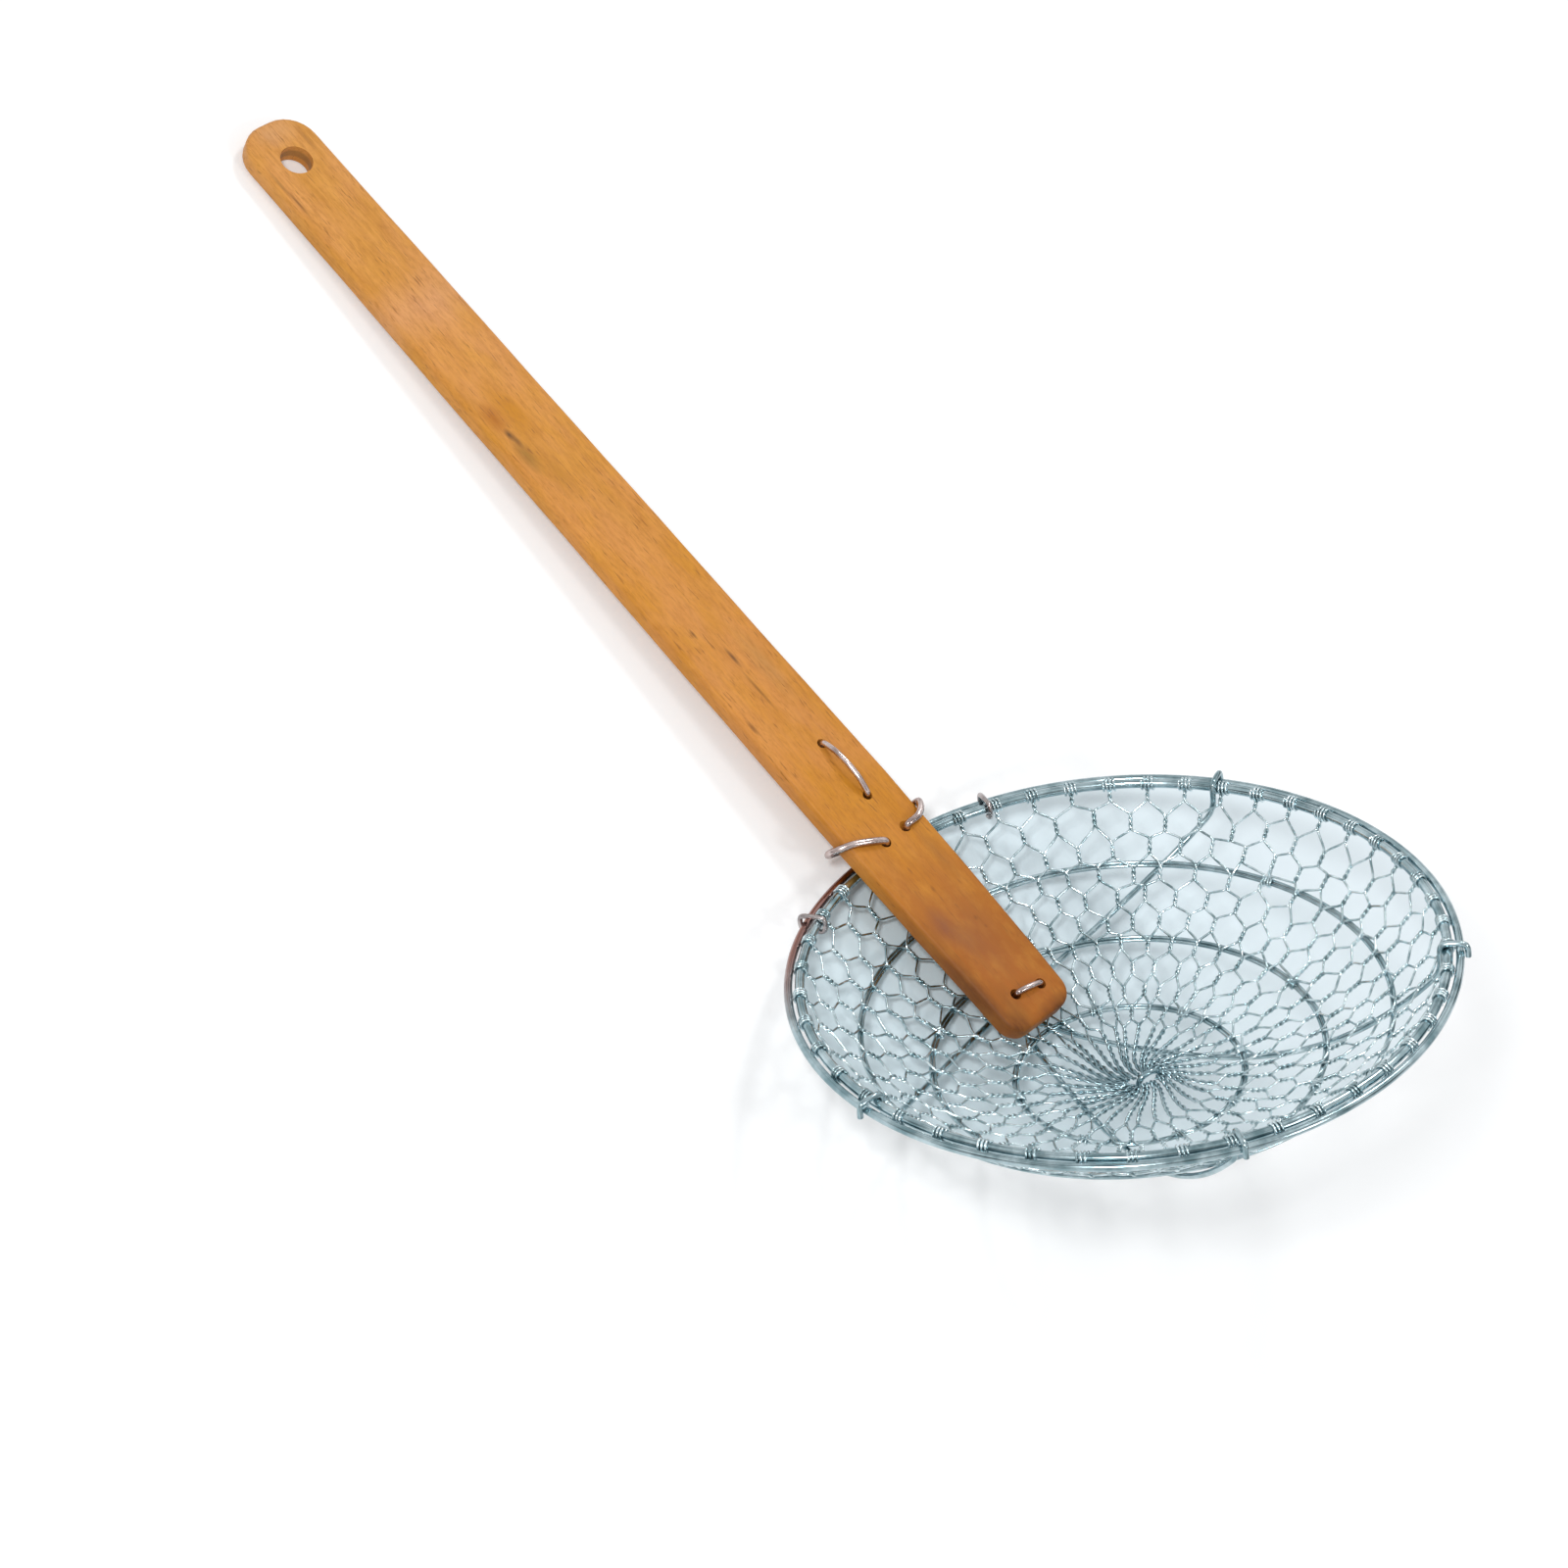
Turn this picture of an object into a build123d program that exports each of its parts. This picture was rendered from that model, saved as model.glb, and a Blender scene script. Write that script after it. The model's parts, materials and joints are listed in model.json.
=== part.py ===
from build123d import *
import os
from math import asin, atan2, cos, degrees, pi, radians, sin, sqrt

# Spider skimmer: a shallow wire basket lashed to a flat bamboo handle.
# It is modelled with the rim level and the handle rising towards -X.
# At the end it is laid down as it rests on a table: on the basket and the handle's end.

# Basket: sizes of the rim and of the bowl
basket_diameter = 203.0
net_rim_wire = 3.0
outer_rim_wire = 2.6
outer_rim_drop = 0.5
net_wire = 0.7
bowl_depth = 44.0
bowl_fullness = 2.9

# Net: looped wires, each with two legs that twist with their neighbours' legs
column_count = 32
first_column_deg = 7.95
row_count = 8
twisted_share = 0.5
last_row_share = 0.3
knot_share = 0.089
knot_height = 2.4
net_wire_sides = 3
rim_turn_sides = 8
rim_turn_start_deg = 239.5
rim_turn_height = 0.15
leg_clearance = 0.06

# Support rings under the net, each of two wires side by side, at shares of the rim's radius
support_ring_wire = 1.1
support_ring_shares = {
    "upper_support_ring": 0.8227,
    "middle_support_ring": 0.6126,
    "lower_support_ring": 0.3591,
}
support_ring_sides = 44
support_wire_sides = 5
ring_wire_clearance = 0.05
ring_net_clearance = 0.15

# Ribs: heavier wires under the rings, hooked over the rim
rib_wire = 1.9
heavy_wire_sides = 8
rib_step_count = 12
rib_clearance = 0.45
hook_corner = 1.3
hook_tail = 2.6
hook_clearance = 0.12
hook_run = 4.35
cross_rib_hook_angles = (112.1, -97.0)
cross_rib_beyond_staple = 3.28
cross_rib_y = 1.75
wishbone_hook_angles = (37.6, -30.2)
wishbone_spread = 19.0
wishbone_dip_run = 6.5
wishbone_fold_beyond = 4.0
wishbone_fold_width = 3.8
wishbone_fold_y = 1.7
wishbone_fold_nose = 1.3
fork_clearance = 0.15

# Rim clips: short wires closed round both rim wires, one each side of the handle
clip_wire = 1.6
clip_angles = (156.0, -156.0)
clip_corner = 1.0
clip_end_share = 0.3

# Handle: a flat bamboo strip, drawn from its tip in the basket to its hanging end
handle_length = 388.5
handle_thickness = 7.0
handle_tip_width = 29.0
handle_waist_width = 31.5
handle_waist_at = 95.0
handle_end_width = 27.0
tip_corner_radius = 5.0
end_corner_radius = 11.0
handle_edge_chamfer = 1.0
tip_depth_share = 0.9
rim_crossing_share = 0.74
hanging_hole_diameter = 11.0
hanging_hole_from_end = 17.0

# Lashing wires through the handle: positions along it from the tip, and across it
tie_wire = 2.4
tie_hole_diameter = 3.6
tie_hole_before_rim = 2.2
tie_outer_run = 7.8
left_tie_across = -1.2
right_tie_across = 8.4
tie_edge_gap = 2.0
tie_corner = 1.1
tie_bow = 0.8
tie_end_shares = (0.2, 0.45)
staple_wire = 1.6
staple_hole_diameter = 2.6
staple_corner = 0.8
long_staple_at = (89.5, 111.5)
long_staple_across = 4.1
long_staple_bow = 2.4
staple_bow_shares = (0.25, 0.75)
staple_bow_rise_share = 0.8
staple_clinch = 6.0
tip_staple_at = 8.8
tip_staple_across = (-2.7, 6.4)
tip_staple_bow = 1.0
tip_staple_foot = 6.5
seat = 0.05

# How it rests: how often the range of tilts is halved to find the one it stands at
steepest_tilt_deg = 80.0
tilt_halving_count = 24


# Sizes that follow from the ones above
outer_rim_radius = basket_diameter / 2 - outer_rim_wire / 2
rim_spacing = net_rim_wire / 2 + net_wire + 2 * seat + outer_rim_wire / 2
net_rim_radius = outer_rim_radius - sqrt(rim_spacing**2 - outer_rim_drop**2)
ring_drop = net_wire / 2 + support_ring_wire / 2 + ring_net_clearance
rib_drop = net_wire / 2 + support_ring_wire + rib_wire / 2 + rib_clearance
column_angle = 360 / column_count
first_row_radius = net_rim_radius - net_rim_wire
last_row_radius = net_rim_radius * last_row_share
knot_radius = net_rim_radius * knot_share
rim_crossing_at = net_rim_radius * rim_crossing_share
tie_hole_at = rim_crossing_at - tie_hole_before_rim


def bowl_height(radius):
    """Height of the net's middle surface at a radius: a full bowl with a flat bottom."""
    return -bowl_depth * (1 - (min(radius, net_rim_radius) / net_rim_radius) ** bowl_fullness)


def bowl_slope(radius):
    """Steepness of the bowl's wall at a radius, as an angle in radians."""
    share = min(radius, net_rim_radius) / net_rim_radius
    return atan2(bowl_depth * bowl_fullness * share ** (bowl_fullness - 1), net_rim_radius)


def on_bowl(radius, angle_deg, drop=0):
    """A point on the bowl at a radius and a compass angle, dropped square to the wall."""
    lean = bowl_slope(radius)
    out = radius + drop * sin(lean)
    height = bowl_height(radius) - drop * cos(lean)
    return Vector(out * cos(radians(angle_deg)), out * sin(radians(angle_deg)), height)


def under_net(x, y, drop):
    """A point under the net that has the given plan position."""
    return on_bowl(sqrt(x * x + y * y), degrees(atan2(y, x)), drop)


# Handle's place: seated on the rim where its edges cross it, with its tip down in the bowl
def handle_half_width(along):
    """Half the handle's width at a place along it."""
    if along < handle_waist_at:
        share = along / handle_waist_at
        return (handle_tip_width + (handle_waist_width - handle_tip_width) * share) / 2
    share = (along - handle_waist_at) / (handle_length - handle_waist_at)
    return (handle_waist_width + (handle_end_width - handle_waist_width) * share) / 2


rim_lift = net_rim_wire / 2 + net_wire + rim_turn_height
rise = asin(bowl_depth * tip_depth_share / sqrt(rim_crossing_at**2 + rim_lift**2))
rise += atan2(rim_lift, rim_crossing_at)

# Its own plane has X along it from the tip, Y across it and Z out of its top face
along_dir = Vector(-cos(rise), 0, sin(rise))
face_dir = Vector(sin(rise), 0, cos(rise))
rim_under_edge = Vector(-sqrt(net_rim_radius**2 - handle_half_width(rim_crossing_at) ** 2), 0, 0)
rim_bow_under_handle = (net_rim_radius + rim_under_edge.X) * sin(rise)
tip_under = rim_under_edge + face_dir * rim_lift - along_dir * rim_crossing_at
handle_plane = Plane(origin=tip_under, x_dir=along_dir, z_dir=face_dir)


def on_handle(along, across, above_top=0):
    """A point given along and across the handle and above its top face."""
    return handle_plane.from_local_coords(Vector(along, -across, handle_thickness + above_top))


# Wires: routes and sections
def eased(points, corner):
    """The same route with each inner corner cut to two gentler ones."""
    route = [points[0]]
    for before, at, after in zip(points, points[1:], points[2:]):
        route.append(at + (before - at).normalized() * corner)
        route.append(at + (after - at).normalized() * corner)
    return route + [points[-1]]


def wire_along(points, diameter, sides):
    """A wire of a many-sided section along a route of short straight runs."""
    path = Polyline(*points)
    start = Plane(origin=path @ 0, z_dir=path % 0)
    section = start * RegularPolygon(diameter / 2, sides)
    return sweep(section, path=path, transition=Transition.RIGHT)


def rim_cross_path(angle_deg, offset, inner_low, outer_low):
    """Points of a wire over both rim wires, in the upright plane at a compass angle."""
    inner = net_rim_radius - net_rim_wire / 2 - offset
    outer = outer_rim_radius + outer_rim_wire / 2 + offset
    top = net_rim_wire / 2 + offset
    outline = ((inner, inner_low), (inner, top), (outer, top), (outer, outer_low))
    return [
        Vector(r * cos(radians(angle_deg)), r * sin(radians(angle_deg)), z)
        for r, z in outline
    ]


# Rim: the net's own ring and the plain ring outside it
def rim_ring(radius, wire, height):
    section = Plane.XZ * Pos(radius, height) * RegularPolygon(wire / 2, heavy_wire_sides)
    return revolve(section, Axis.Z)


net_rim_ring = rim_ring(net_rim_radius, net_rim_wire, 0)
outer_rim_ring = rim_ring(outer_rim_radius, outer_rim_wire, -outer_rim_drop)


# Net: radii of the rows, evenly spaced down the wall from just inside the rim
def rows_down_the_wall():
    steps = 400
    radii = [
        first_row_radius + (last_row_radius - first_row_radius) * i / steps
        for i in range(steps + 1)
    ]
    lengths = [0.0]
    for near, far in zip(radii, radii[1:]):
        run = sqrt((near - far) ** 2 + (bowl_height(near) - bowl_height(far)) ** 2)
        lengths.append(lengths[-1] + run)
    total_shares = row_count - 1 + twisted_share
    rows = []
    for row in range(row_count):
        ends = []
        for share in (row, row + twisted_share):
            wanted = lengths[-1] * share / total_shares
            nearest = min(range(steps + 1), key=lambda i: abs(lengths[i] - wanted))
            ends.append(radii[nearest])
        rows.append(ends)
    return rows


def side_step(radius):
    """Half the spacing of two wires lying side by side, as an angle at a radius."""
    return degrees((net_wire + leg_clearance) / 2 / radius)


def net_leg(side):
    """One leg of a looped wire, from the rim down to the knot, on one side of its column."""
    points = []
    for row, (high, low) in enumerate(rows_down_the_wall()):
        column = 0 if row % 2 == 0 else side * column_angle / 2
        lean = side if row % 2 == 0 else -side
        if row == row_count - 1:
            low = knot_radius - net_wire / 2
        for radius in (high, low):
            points.append(on_bowl(radius, column + lean * side_step(radius)))
    return points


def net_loop():
    """A wire turned once round the rim, with its two legs in the net."""
    reach = (net_rim_wire / 2 + net_wire / 2 + seat) / cos(pi / rim_turn_sides)
    turn = []
    for corner in range(rim_turn_sides + 1):
        share = corner / rim_turn_sides
        angle = radians(rim_turn_start_deg - 360 * share)
        sideways = (net_wire + leg_clearance) * (share - 0.5)
        turn.append(Vector(net_rim_radius + reach * cos(angle), sideways, reach * sin(angle)))
    left = net_leg(-1)
    right = net_leg(1)
    return wire_along(left[::-1] + turn + right, net_wire, net_wire_sides)


loop = net_loop()
knot = Pos(0, 0, bowl_height(0)) * Cylinder(knot_radius, knot_height)
knot = chamfer(knot.edges(), knot_height / 3)
hex_net = [
    loop.rotate(Axis.Z, first_column_deg + column_angle * column)
    for column in range(column_count)
]
hex_net.append(knot)


# Support rings: two many-sided wires side by side under the net
def support_ring(radius):
    spread = (support_ring_wire + ring_wire_clearance) / 2
    lean = bowl_slope(radius)
    centre = on_bowl(radius, 0, ring_drop)
    rings = []
    for offset in (-spread, spread):
        outline = RegularPolygon(centre.X + offset * cos(lean), support_ring_sides)
        path = Pos(0, 0, centre.Z + offset * sin(lean)) * outline.wire()
        start = Plane(origin=path @ 0, z_dir=path % 0)
        section = start * RegularPolygon(support_ring_wire / 2, support_wire_sides)
        rings.append(sweep(section, path=path, transition=Transition.RIGHT))
    return rings


# Ribs: wires under the rings that come up inside the rim and hook over it
def rib_hook(angle_deg):
    """The hooked end of a rib, from its tail over the rim and down inside it."""
    offset = rib_wire / 2 + hook_clearance
    inner_low = bowl_height(net_rim_radius - hook_run)
    outer_low = -hook_tail - outer_rim_drop
    over = rim_cross_path(angle_deg, offset, inner_low, outer_low)
    return eased(over[::-1], hook_corner)[:-1]


def rib_under_net(start, middle, end):
    """Points of a rib laid under the net, along an arc in plan through three places."""
    arc = ThreePointArc(start, middle, end)
    route = []
    for step in range(rib_step_count + 1):
        place = arc @ (step / rib_step_count)
        route.append(under_net(place.X, place.Y, rib_drop))
    return route


def rib_foot(angle_deg):
    """Plan position where a rib leaves the net's underside below its hook."""
    radius = net_rim_radius - hook_run
    return Vector(radius * cos(radians(angle_deg)), radius * sin(radians(angle_deg)), 0)


def rib_beside_staple():
    """How far from the middle the cross rib runs, to pass just beyond the tip staple's legs."""
    out = -tip_under.X
    for attempt in range(rib_step_count):
        rib = under_net(-out, cross_rib_y, rib_drop)
        short = cross_rib_beyond_staple - (rib - on_handle(tip_staple_at, 0)).dot(along_dir)
        out += short * cos(rise)
    return out


cross_rib_x = rib_beside_staple()
wishbone_fold_x = cross_rib_x + wishbone_fold_beyond
cross_route = (
    rib_hook(cross_rib_hook_angles[0])
    + rib_under_net(
        rib_foot(cross_rib_hook_angles[0]),
        Vector(-cross_rib_x, cross_rib_y, 0),
        rib_foot(cross_rib_hook_angles[1]),
    )
    + rib_hook(cross_rib_hook_angles[1])[::-1]
)
cross_rib = wire_along(cross_route, rib_wire, heavy_wire_sides)


def wishbone_arm(angle_deg, side):
    """One arm of the forked rib, from its hook to the fold under the handle's tip."""
    fold_y = wishbone_fold_y + side * wishbone_fold_width / 2
    fold = Vector(-cross_rib_x + wishbone_dip_run, fold_y, 0)
    middle = Vector(0, side * wishbone_spread, 0)
    arm = rib_hook(angle_deg) + rib_under_net(rib_foot(angle_deg), middle, fold)
    under_rib = rib_drop + rib_wire + fork_clearance
    nose_y = wishbone_fold_y + side * (wishbone_fold_width / 2 - wishbone_fold_nose)
    arm.append(under_net(-cross_rib_x, fold_y, under_rib))
    arm.append(under_net(-wishbone_fold_x, fold_y, under_rib))
    arm.append(under_net(-wishbone_fold_x - wishbone_fold_nose, nose_y, under_rib))
    return arm


wishbone_route = wishbone_arm(wishbone_hook_angles[0], 1)
wishbone_route += wishbone_arm(wishbone_hook_angles[1], -1)[::-1]
wishbone_rib = wire_along(wishbone_route, rib_wire, heavy_wire_sides)


# Rim clips: a square turn of wire round both rim wires
def rim_clip(angle_deg):
    offset = clip_wire / 2 + hook_clearance
    low = -net_rim_wire / 2 - outer_rim_drop - offset
    over = rim_cross_path(angle_deg, offset, low, low)
    inner_end = over[0] + (over[-1] - over[0]) * clip_end_share
    outer_end = over[-1] + (over[0] - over[-1]) * clip_end_share
    turn = eased([inner_end] + over + [outer_end], clip_corner)
    return wire_along(turn, clip_wire, heavy_wire_sides)


rim_clips = [rim_clip(angle) for angle in clip_angles]


# Handle: flat, and slightly wider at its waist
def handle_blank():
    stations = (0, handle_waist_at, handle_length)
    near = [(at, handle_half_width(at)) for at in stations]
    far = [(at, -half) for at, half in reversed(near)]
    outline = make_face(Polyline(*near, *far, close=True))
    corners = outline.vertices().sort_by(Axis.X)
    outline = fillet(corners[:2], tip_corner_radius)
    corners = outline.vertices().sort_by(Axis.X)
    outline = fillet(corners[-2:], end_corner_radius)
    blank = extrude(outline, handle_thickness)
    faces = blank.faces().sort_by(Axis.Z)
    return chamfer(faces[0].edges() + faces[-1].edges(), handle_edge_chamfer)


def drilled(along, across, diameter):
    depth = 3 * handle_thickness
    return Pos(along, -across, 0) * Cylinder(diameter / 2, depth)


hanging_hole_at = handle_length - hanging_hole_from_end
holes = [drilled(hanging_hole_at, 0, hanging_hole_diameter)]
for across in (left_tie_across, right_tie_across):
    holes.append(drilled(tie_hole_at, across, tie_hole_diameter))
for along in long_staple_at:
    holes.append(drilled(along, long_staple_across, staple_hole_diameter))
for across in tip_staple_across:
    holes.append(drilled(tip_staple_at, across, staple_hole_diameter))
handle = handle_plane.location * (handle_blank() - holes)


# Rim ties: heavy wires out of a hole, over the handle's edge and back under both rim wires
def rim_tie(across, side):
    top = tie_wire / 2 + seat
    rims = net_wire + net_rim_wire + outer_rim_wire + rim_bow_under_handle
    below = -handle_thickness - rims - tie_wire / 2 - seat
    edge = side * (handle_half_width(tie_hole_at) + tie_wire / 2 + tie_edge_gap)
    ends = []
    for share in tie_end_shares:
        at = tie_hole_at + tie_outer_run * share
        ends.append(on_handle(at, across + (edge - across) * share, below))
    middle = on_handle(tie_hole_at + tie_outer_run / 2, (across + edge) / 2, top + tie_bow)
    points = [
        ends[0],
        on_handle(tie_hole_at, across, below),
        on_handle(tie_hole_at, across, top),
        middle,
        on_handle(tie_hole_at + tie_outer_run, edge, top),
        on_handle(tie_hole_at + tie_outer_run, edge, below),
        ends[1],
    ]
    return wire_along(eased(points, tie_corner), tie_wire, heavy_wire_sides)


left_rim_tie = rim_tie(left_tie_across, -1)
right_rim_tie = rim_tie(right_tie_across, 1)


def bowed_over(first, second, bow):
    """The top of a staple: its two shoulders on the handle and a bow between them."""
    lift = face_dir * bow
    low, high = (first + (second - first) * share for share in staple_bow_shares)
    return [first, low + lift * staple_bow_rise_share, (first + second) / 2 + lift,
            high + lift * staple_bow_rise_share, second]


# Long staple: bowed over the handle's top face and clinched under it
def long_staple():
    top = staple_wire / 2 + seat
    below = -handle_thickness - staple_wire / 2 - seat
    shoulders = [on_handle(at, long_staple_across, top) for at in long_staple_at]
    feet = [on_handle(at, long_staple_across, below) for at in long_staple_at]
    clinch = (feet[1] - feet[0]).normalized() * staple_clinch
    crown = bowed_over(shoulders[0], shoulders[1], long_staple_bow)
    points = [feet[0] + clinch, feet[0]] + crown + [feet[1], feet[1] - clinch]
    return wire_along(eased(points, staple_corner), staple_wire, heavy_wire_sides)


# Tip staple: its legs pass through the handle and the net and turn under the cross rib
def tip_staple():
    top = staple_wire / 2 + seat
    rib = under_net(-cross_rib_x, cross_rib_y, rib_drop)
    under_rib = rib_wire / 2 + staple_wire / 2 + hook_clearance
    below = -(on_handle(tip_staple_at, 0) - rib).dot(face_dir) - under_rib
    reach = along_dir * tip_staple_foot
    shoulders = [on_handle(tip_staple_at, across, top) for across in tip_staple_across]
    feet = [on_handle(tip_staple_at, across, below) for across in tip_staple_across]
    crown = bowed_over(shoulders[0], shoulders[1], tip_staple_bow)
    points = [feet[0] + reach, feet[0]] + crown + [feet[1], feet[1] + reach]
    return wire_along(eased(points, staple_corner), staple_wire, heavy_wire_sides)


nodes = {
    "handle": [handle],
    "net_rim_ring": [net_rim_ring],
    "outer_rim_ring": [outer_rim_ring],
    "hex_net": hex_net,
    "cross_rib": [cross_rib],
    "wishbone_rib": [wishbone_rib],
    "rim_clips": rim_clips,
    "left_rim_tie": [left_rim_tie],
    "right_rim_tie": [right_rim_tie],
    "long_staple": [long_staple()],
    "tip_staple": [tip_staple()],
}
for name, share in support_ring_shares.items():
    nodes[name] = support_ring(net_rim_radius * share)


# At rest: tilted until the handle's end and the basket's underside stand on one plane
def lowest(shapes, tilt_deg):
    return min(shape.rotate(Axis.Y, -tilt_deg).bounding_box().min.Z for shape in shapes)


def resting_tilt():
    flat = 0.0
    steep = steepest_tilt_deg
    underside = nodes["cross_rib"] + nodes["wishbone_rib"] + nodes["tip_staple"]
    for halving in range(tilt_halving_count):
        tilt = (flat + steep) / 2
        if lowest([handle], tilt) > lowest(underside, tilt):
            flat = tilt
        else:
            steep = tilt
    return tilt


# Laid down, with the origin under the middle of its bounding box
tilt_at_rest = resting_tilt()
laid = {}
for name, solids in nodes.items():
    laid[name] = Compound([solid.solid() for solid in solids]).rotate(Axis.Y, -tilt_at_rest)
box = Compound(list(laid.values())).bounding_box()
middle = Vector((box.min.X + box.max.X) / 2, (box.min.Y + box.max.Y) / 2, box.min.Z)

os.makedirs("parts", exist_ok=True)
for name, shape in laid.items():
    export_step(shape.translate(-middle), f"parts/{name}.step")
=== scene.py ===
# %% [markdown]
# A spider skimmer is a shallow wire basket tied to a flat strip of bamboo. This lesson dresses
# the measured model: round wires, a net of twisted pairs, and bamboo with its fibres and stains.
# The frame gives every place, so nothing here moves or resizes the real parts.

# %% Load the measured frame
import json
from math import atan2, cos, pi, radians, remainder, sin, sqrt

import bmesh
import bpy
import numpy as np
from mathutils import Matrix, Quaternion, Vector


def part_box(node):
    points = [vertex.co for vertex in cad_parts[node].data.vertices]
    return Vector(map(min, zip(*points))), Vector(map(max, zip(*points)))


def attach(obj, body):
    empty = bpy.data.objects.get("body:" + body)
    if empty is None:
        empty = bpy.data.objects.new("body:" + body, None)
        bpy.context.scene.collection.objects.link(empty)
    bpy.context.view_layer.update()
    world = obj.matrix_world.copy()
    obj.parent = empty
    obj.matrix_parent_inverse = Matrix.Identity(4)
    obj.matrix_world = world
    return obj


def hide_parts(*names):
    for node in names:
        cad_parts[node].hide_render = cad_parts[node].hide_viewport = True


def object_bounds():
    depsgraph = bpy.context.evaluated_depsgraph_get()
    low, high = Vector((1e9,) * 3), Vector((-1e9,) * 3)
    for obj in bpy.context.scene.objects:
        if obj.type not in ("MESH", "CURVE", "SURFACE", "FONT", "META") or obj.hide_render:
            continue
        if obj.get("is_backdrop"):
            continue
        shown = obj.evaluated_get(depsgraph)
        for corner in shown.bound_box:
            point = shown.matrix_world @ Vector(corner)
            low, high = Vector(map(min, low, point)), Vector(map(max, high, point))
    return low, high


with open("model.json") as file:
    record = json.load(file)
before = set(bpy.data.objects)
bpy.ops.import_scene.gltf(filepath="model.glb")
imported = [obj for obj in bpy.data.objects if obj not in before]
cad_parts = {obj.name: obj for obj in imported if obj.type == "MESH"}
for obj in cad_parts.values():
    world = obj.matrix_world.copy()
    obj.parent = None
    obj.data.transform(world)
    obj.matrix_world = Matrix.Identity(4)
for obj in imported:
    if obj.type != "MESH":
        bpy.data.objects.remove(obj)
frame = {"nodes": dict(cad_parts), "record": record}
cad_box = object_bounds()
mm = 0.001
print("frame nodes:", len(frame["nodes"]))
print("box in metres:", [round(x, 3) for corner in cad_box for x in corner])

# %% [markdown]
# The photograph is taken from above the basket's far side, with the camera rolled so that the
# handle runs to the upper left. A long lens keeps the far end of the handle from shrinking.
# The camera looks at one aimed point, and its turn about the view is added last.

# %% Place the camera
aim = Vector((0.0525, -0.0452, 0.0566))
camera_azimuth = radians(-73.47)
camera_elevation = radians(53.51)
camera_roll = radians(36.6)
camera_distance = 1.2779
towards_camera = Vector((
    cos(camera_elevation) * cos(camera_azimuth),
    cos(camera_elevation) * sin(camera_azimuth),
    sin(camera_elevation),
))
camera_data = bpy.data.cameras.new("camera")
camera_data.lens = 98.15
camera_data.clip_start = 0.05
camera = bpy.data.objects.new("camera", camera_data)
bpy.context.scene.collection.objects.link(camera)
camera.location = aim + towards_camera * camera_distance
level_turn = (-towards_camera).to_track_quat("-Z", "Y")
camera.rotation_mode = "QUATERNION"
camera.rotation_quaternion = level_turn @ Quaternion((0, 0, 1), camera_roll)
bpy.context.scene.camera = camera
print("camera at", [round(x, 3) for x in camera.location])

# %% [markdown]
# The rims and the bowl are easiest to describe level, with the rim as a circle about the
# origin. The model lies tilted on the table, so one matrix carries level points to where they
# lie. It is read from the net rim itself: its middle, and the direction square to its plane.

# %% Find the tilted basket in the frame
def node_points(node):
    mesh = frame["nodes"][node].data
    places = np.empty(len(mesh.vertices) * 3)
    mesh.vertices.foreach_get("co", places)
    return places.reshape(-1, 3)


rim_points = node_points("net_rim_ring")
rim_low, rim_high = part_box("net_rim_ring")
rim_centre = (rim_low + rim_high) / 2
rim_axis = Vector(np.linalg.svd(rim_points - np.array(rim_centre), full_matrices=False)[2][-1])
rim_axis *= 1 if rim_axis.z > 0 else -1
tilt = atan2(-rim_axis.x, rim_axis.z)
basket_place = Matrix.Translation(rim_centre) @ Matrix.Rotation(-tilt, 4, "Y")
print("rim centre", [round(x / mm, 2) for x in rim_centre], "tilt", round(tilt * 180 / pi, 2))

# %% [markdown]
# The bowl has a nearly flat bottom and steep sides, which a power curve gives with two
# numbers: its depth and how full it is. Every wire of the basket is placed on this surface,
# or a little under it, by a radius, a compass angle and a drop square to the wall.

# %% Describe the bowl
net_rim_radius = 96.635 * mm
net_rim_wire = 3.0 * mm
outer_rim_radius = 100.2 * mm
outer_rim_wire = 2.6 * mm
outer_rim_drop = 0.5 * mm
net_wire = 0.8 * mm
bowl_depth = 44.0 * mm
bowl_fullness = 2.9


def bowl_height(radius):
    share = min(radius, net_rim_radius) / net_rim_radius
    return -bowl_depth * (1 - share**bowl_fullness)


def bowl_lean(radius):
    share = min(radius, net_rim_radius) / net_rim_radius
    return atan2(bowl_depth * bowl_fullness * share ** (bowl_fullness - 1), net_rim_radius)


def on_bowl(radius, angle, drop=0.0):
    lean = bowl_lean(radius)
    out = radius + drop * sin(lean)
    height = bowl_height(radius) - drop * cos(lean)
    return Vector((out * cos(angle), out * sin(angle), height))


def under_net(x, y, drop):
    return on_bowl(sqrt(x * x + y * y), atan2(y, x), drop)


print("bowl height half way out:", round(bowl_height(net_rim_radius / 2) / mm, 1), "mm")

# %% [markdown]
# The handle is described in its own directions: along it from the tip in the basket, across
# it, and out of its top face. The hanging hole's mount in the record gives the face's
# direction and one point on the handle's middle plane, so all the rest follows.

# %% Find the handle in the frame
handle_length = 388.5 * mm
handle_thickness = 7.0 * mm
hanging_hole_from_end = 17.0 * mm
hanging_hole = next(m for m in frame["record"]["mounts"] if m["name"] == "hanging_hole")
face_dir = Vector(hanging_hole["axis"]).normalized()
along_dir = Vector((-face_dir.z, 0, face_dir.x))
across_dir = Vector((0, 1, 0))
hole_place = Vector(hanging_hole["pos_m"])
tip_place = hole_place - along_dir * (handle_length - hanging_hole_from_end)
tip_place -= face_dir * handle_thickness / 2
handle_place = Matrix.Translation(tip_place) @ Matrix((
    (along_dir.x, -across_dir.x, face_dir.x),
    (along_dir.y, -across_dir.y, face_dir.y),
    (along_dir.z, -across_dir.z, face_dir.z),
)).to_4x4()


def on_handle(along, across, above_top=0.0):
    return handle_place @ Vector((along, -across, handle_thickness + above_top))


print("handle's end at", [round(x, 3) for x in on_handle(handle_length, 0)])

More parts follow.
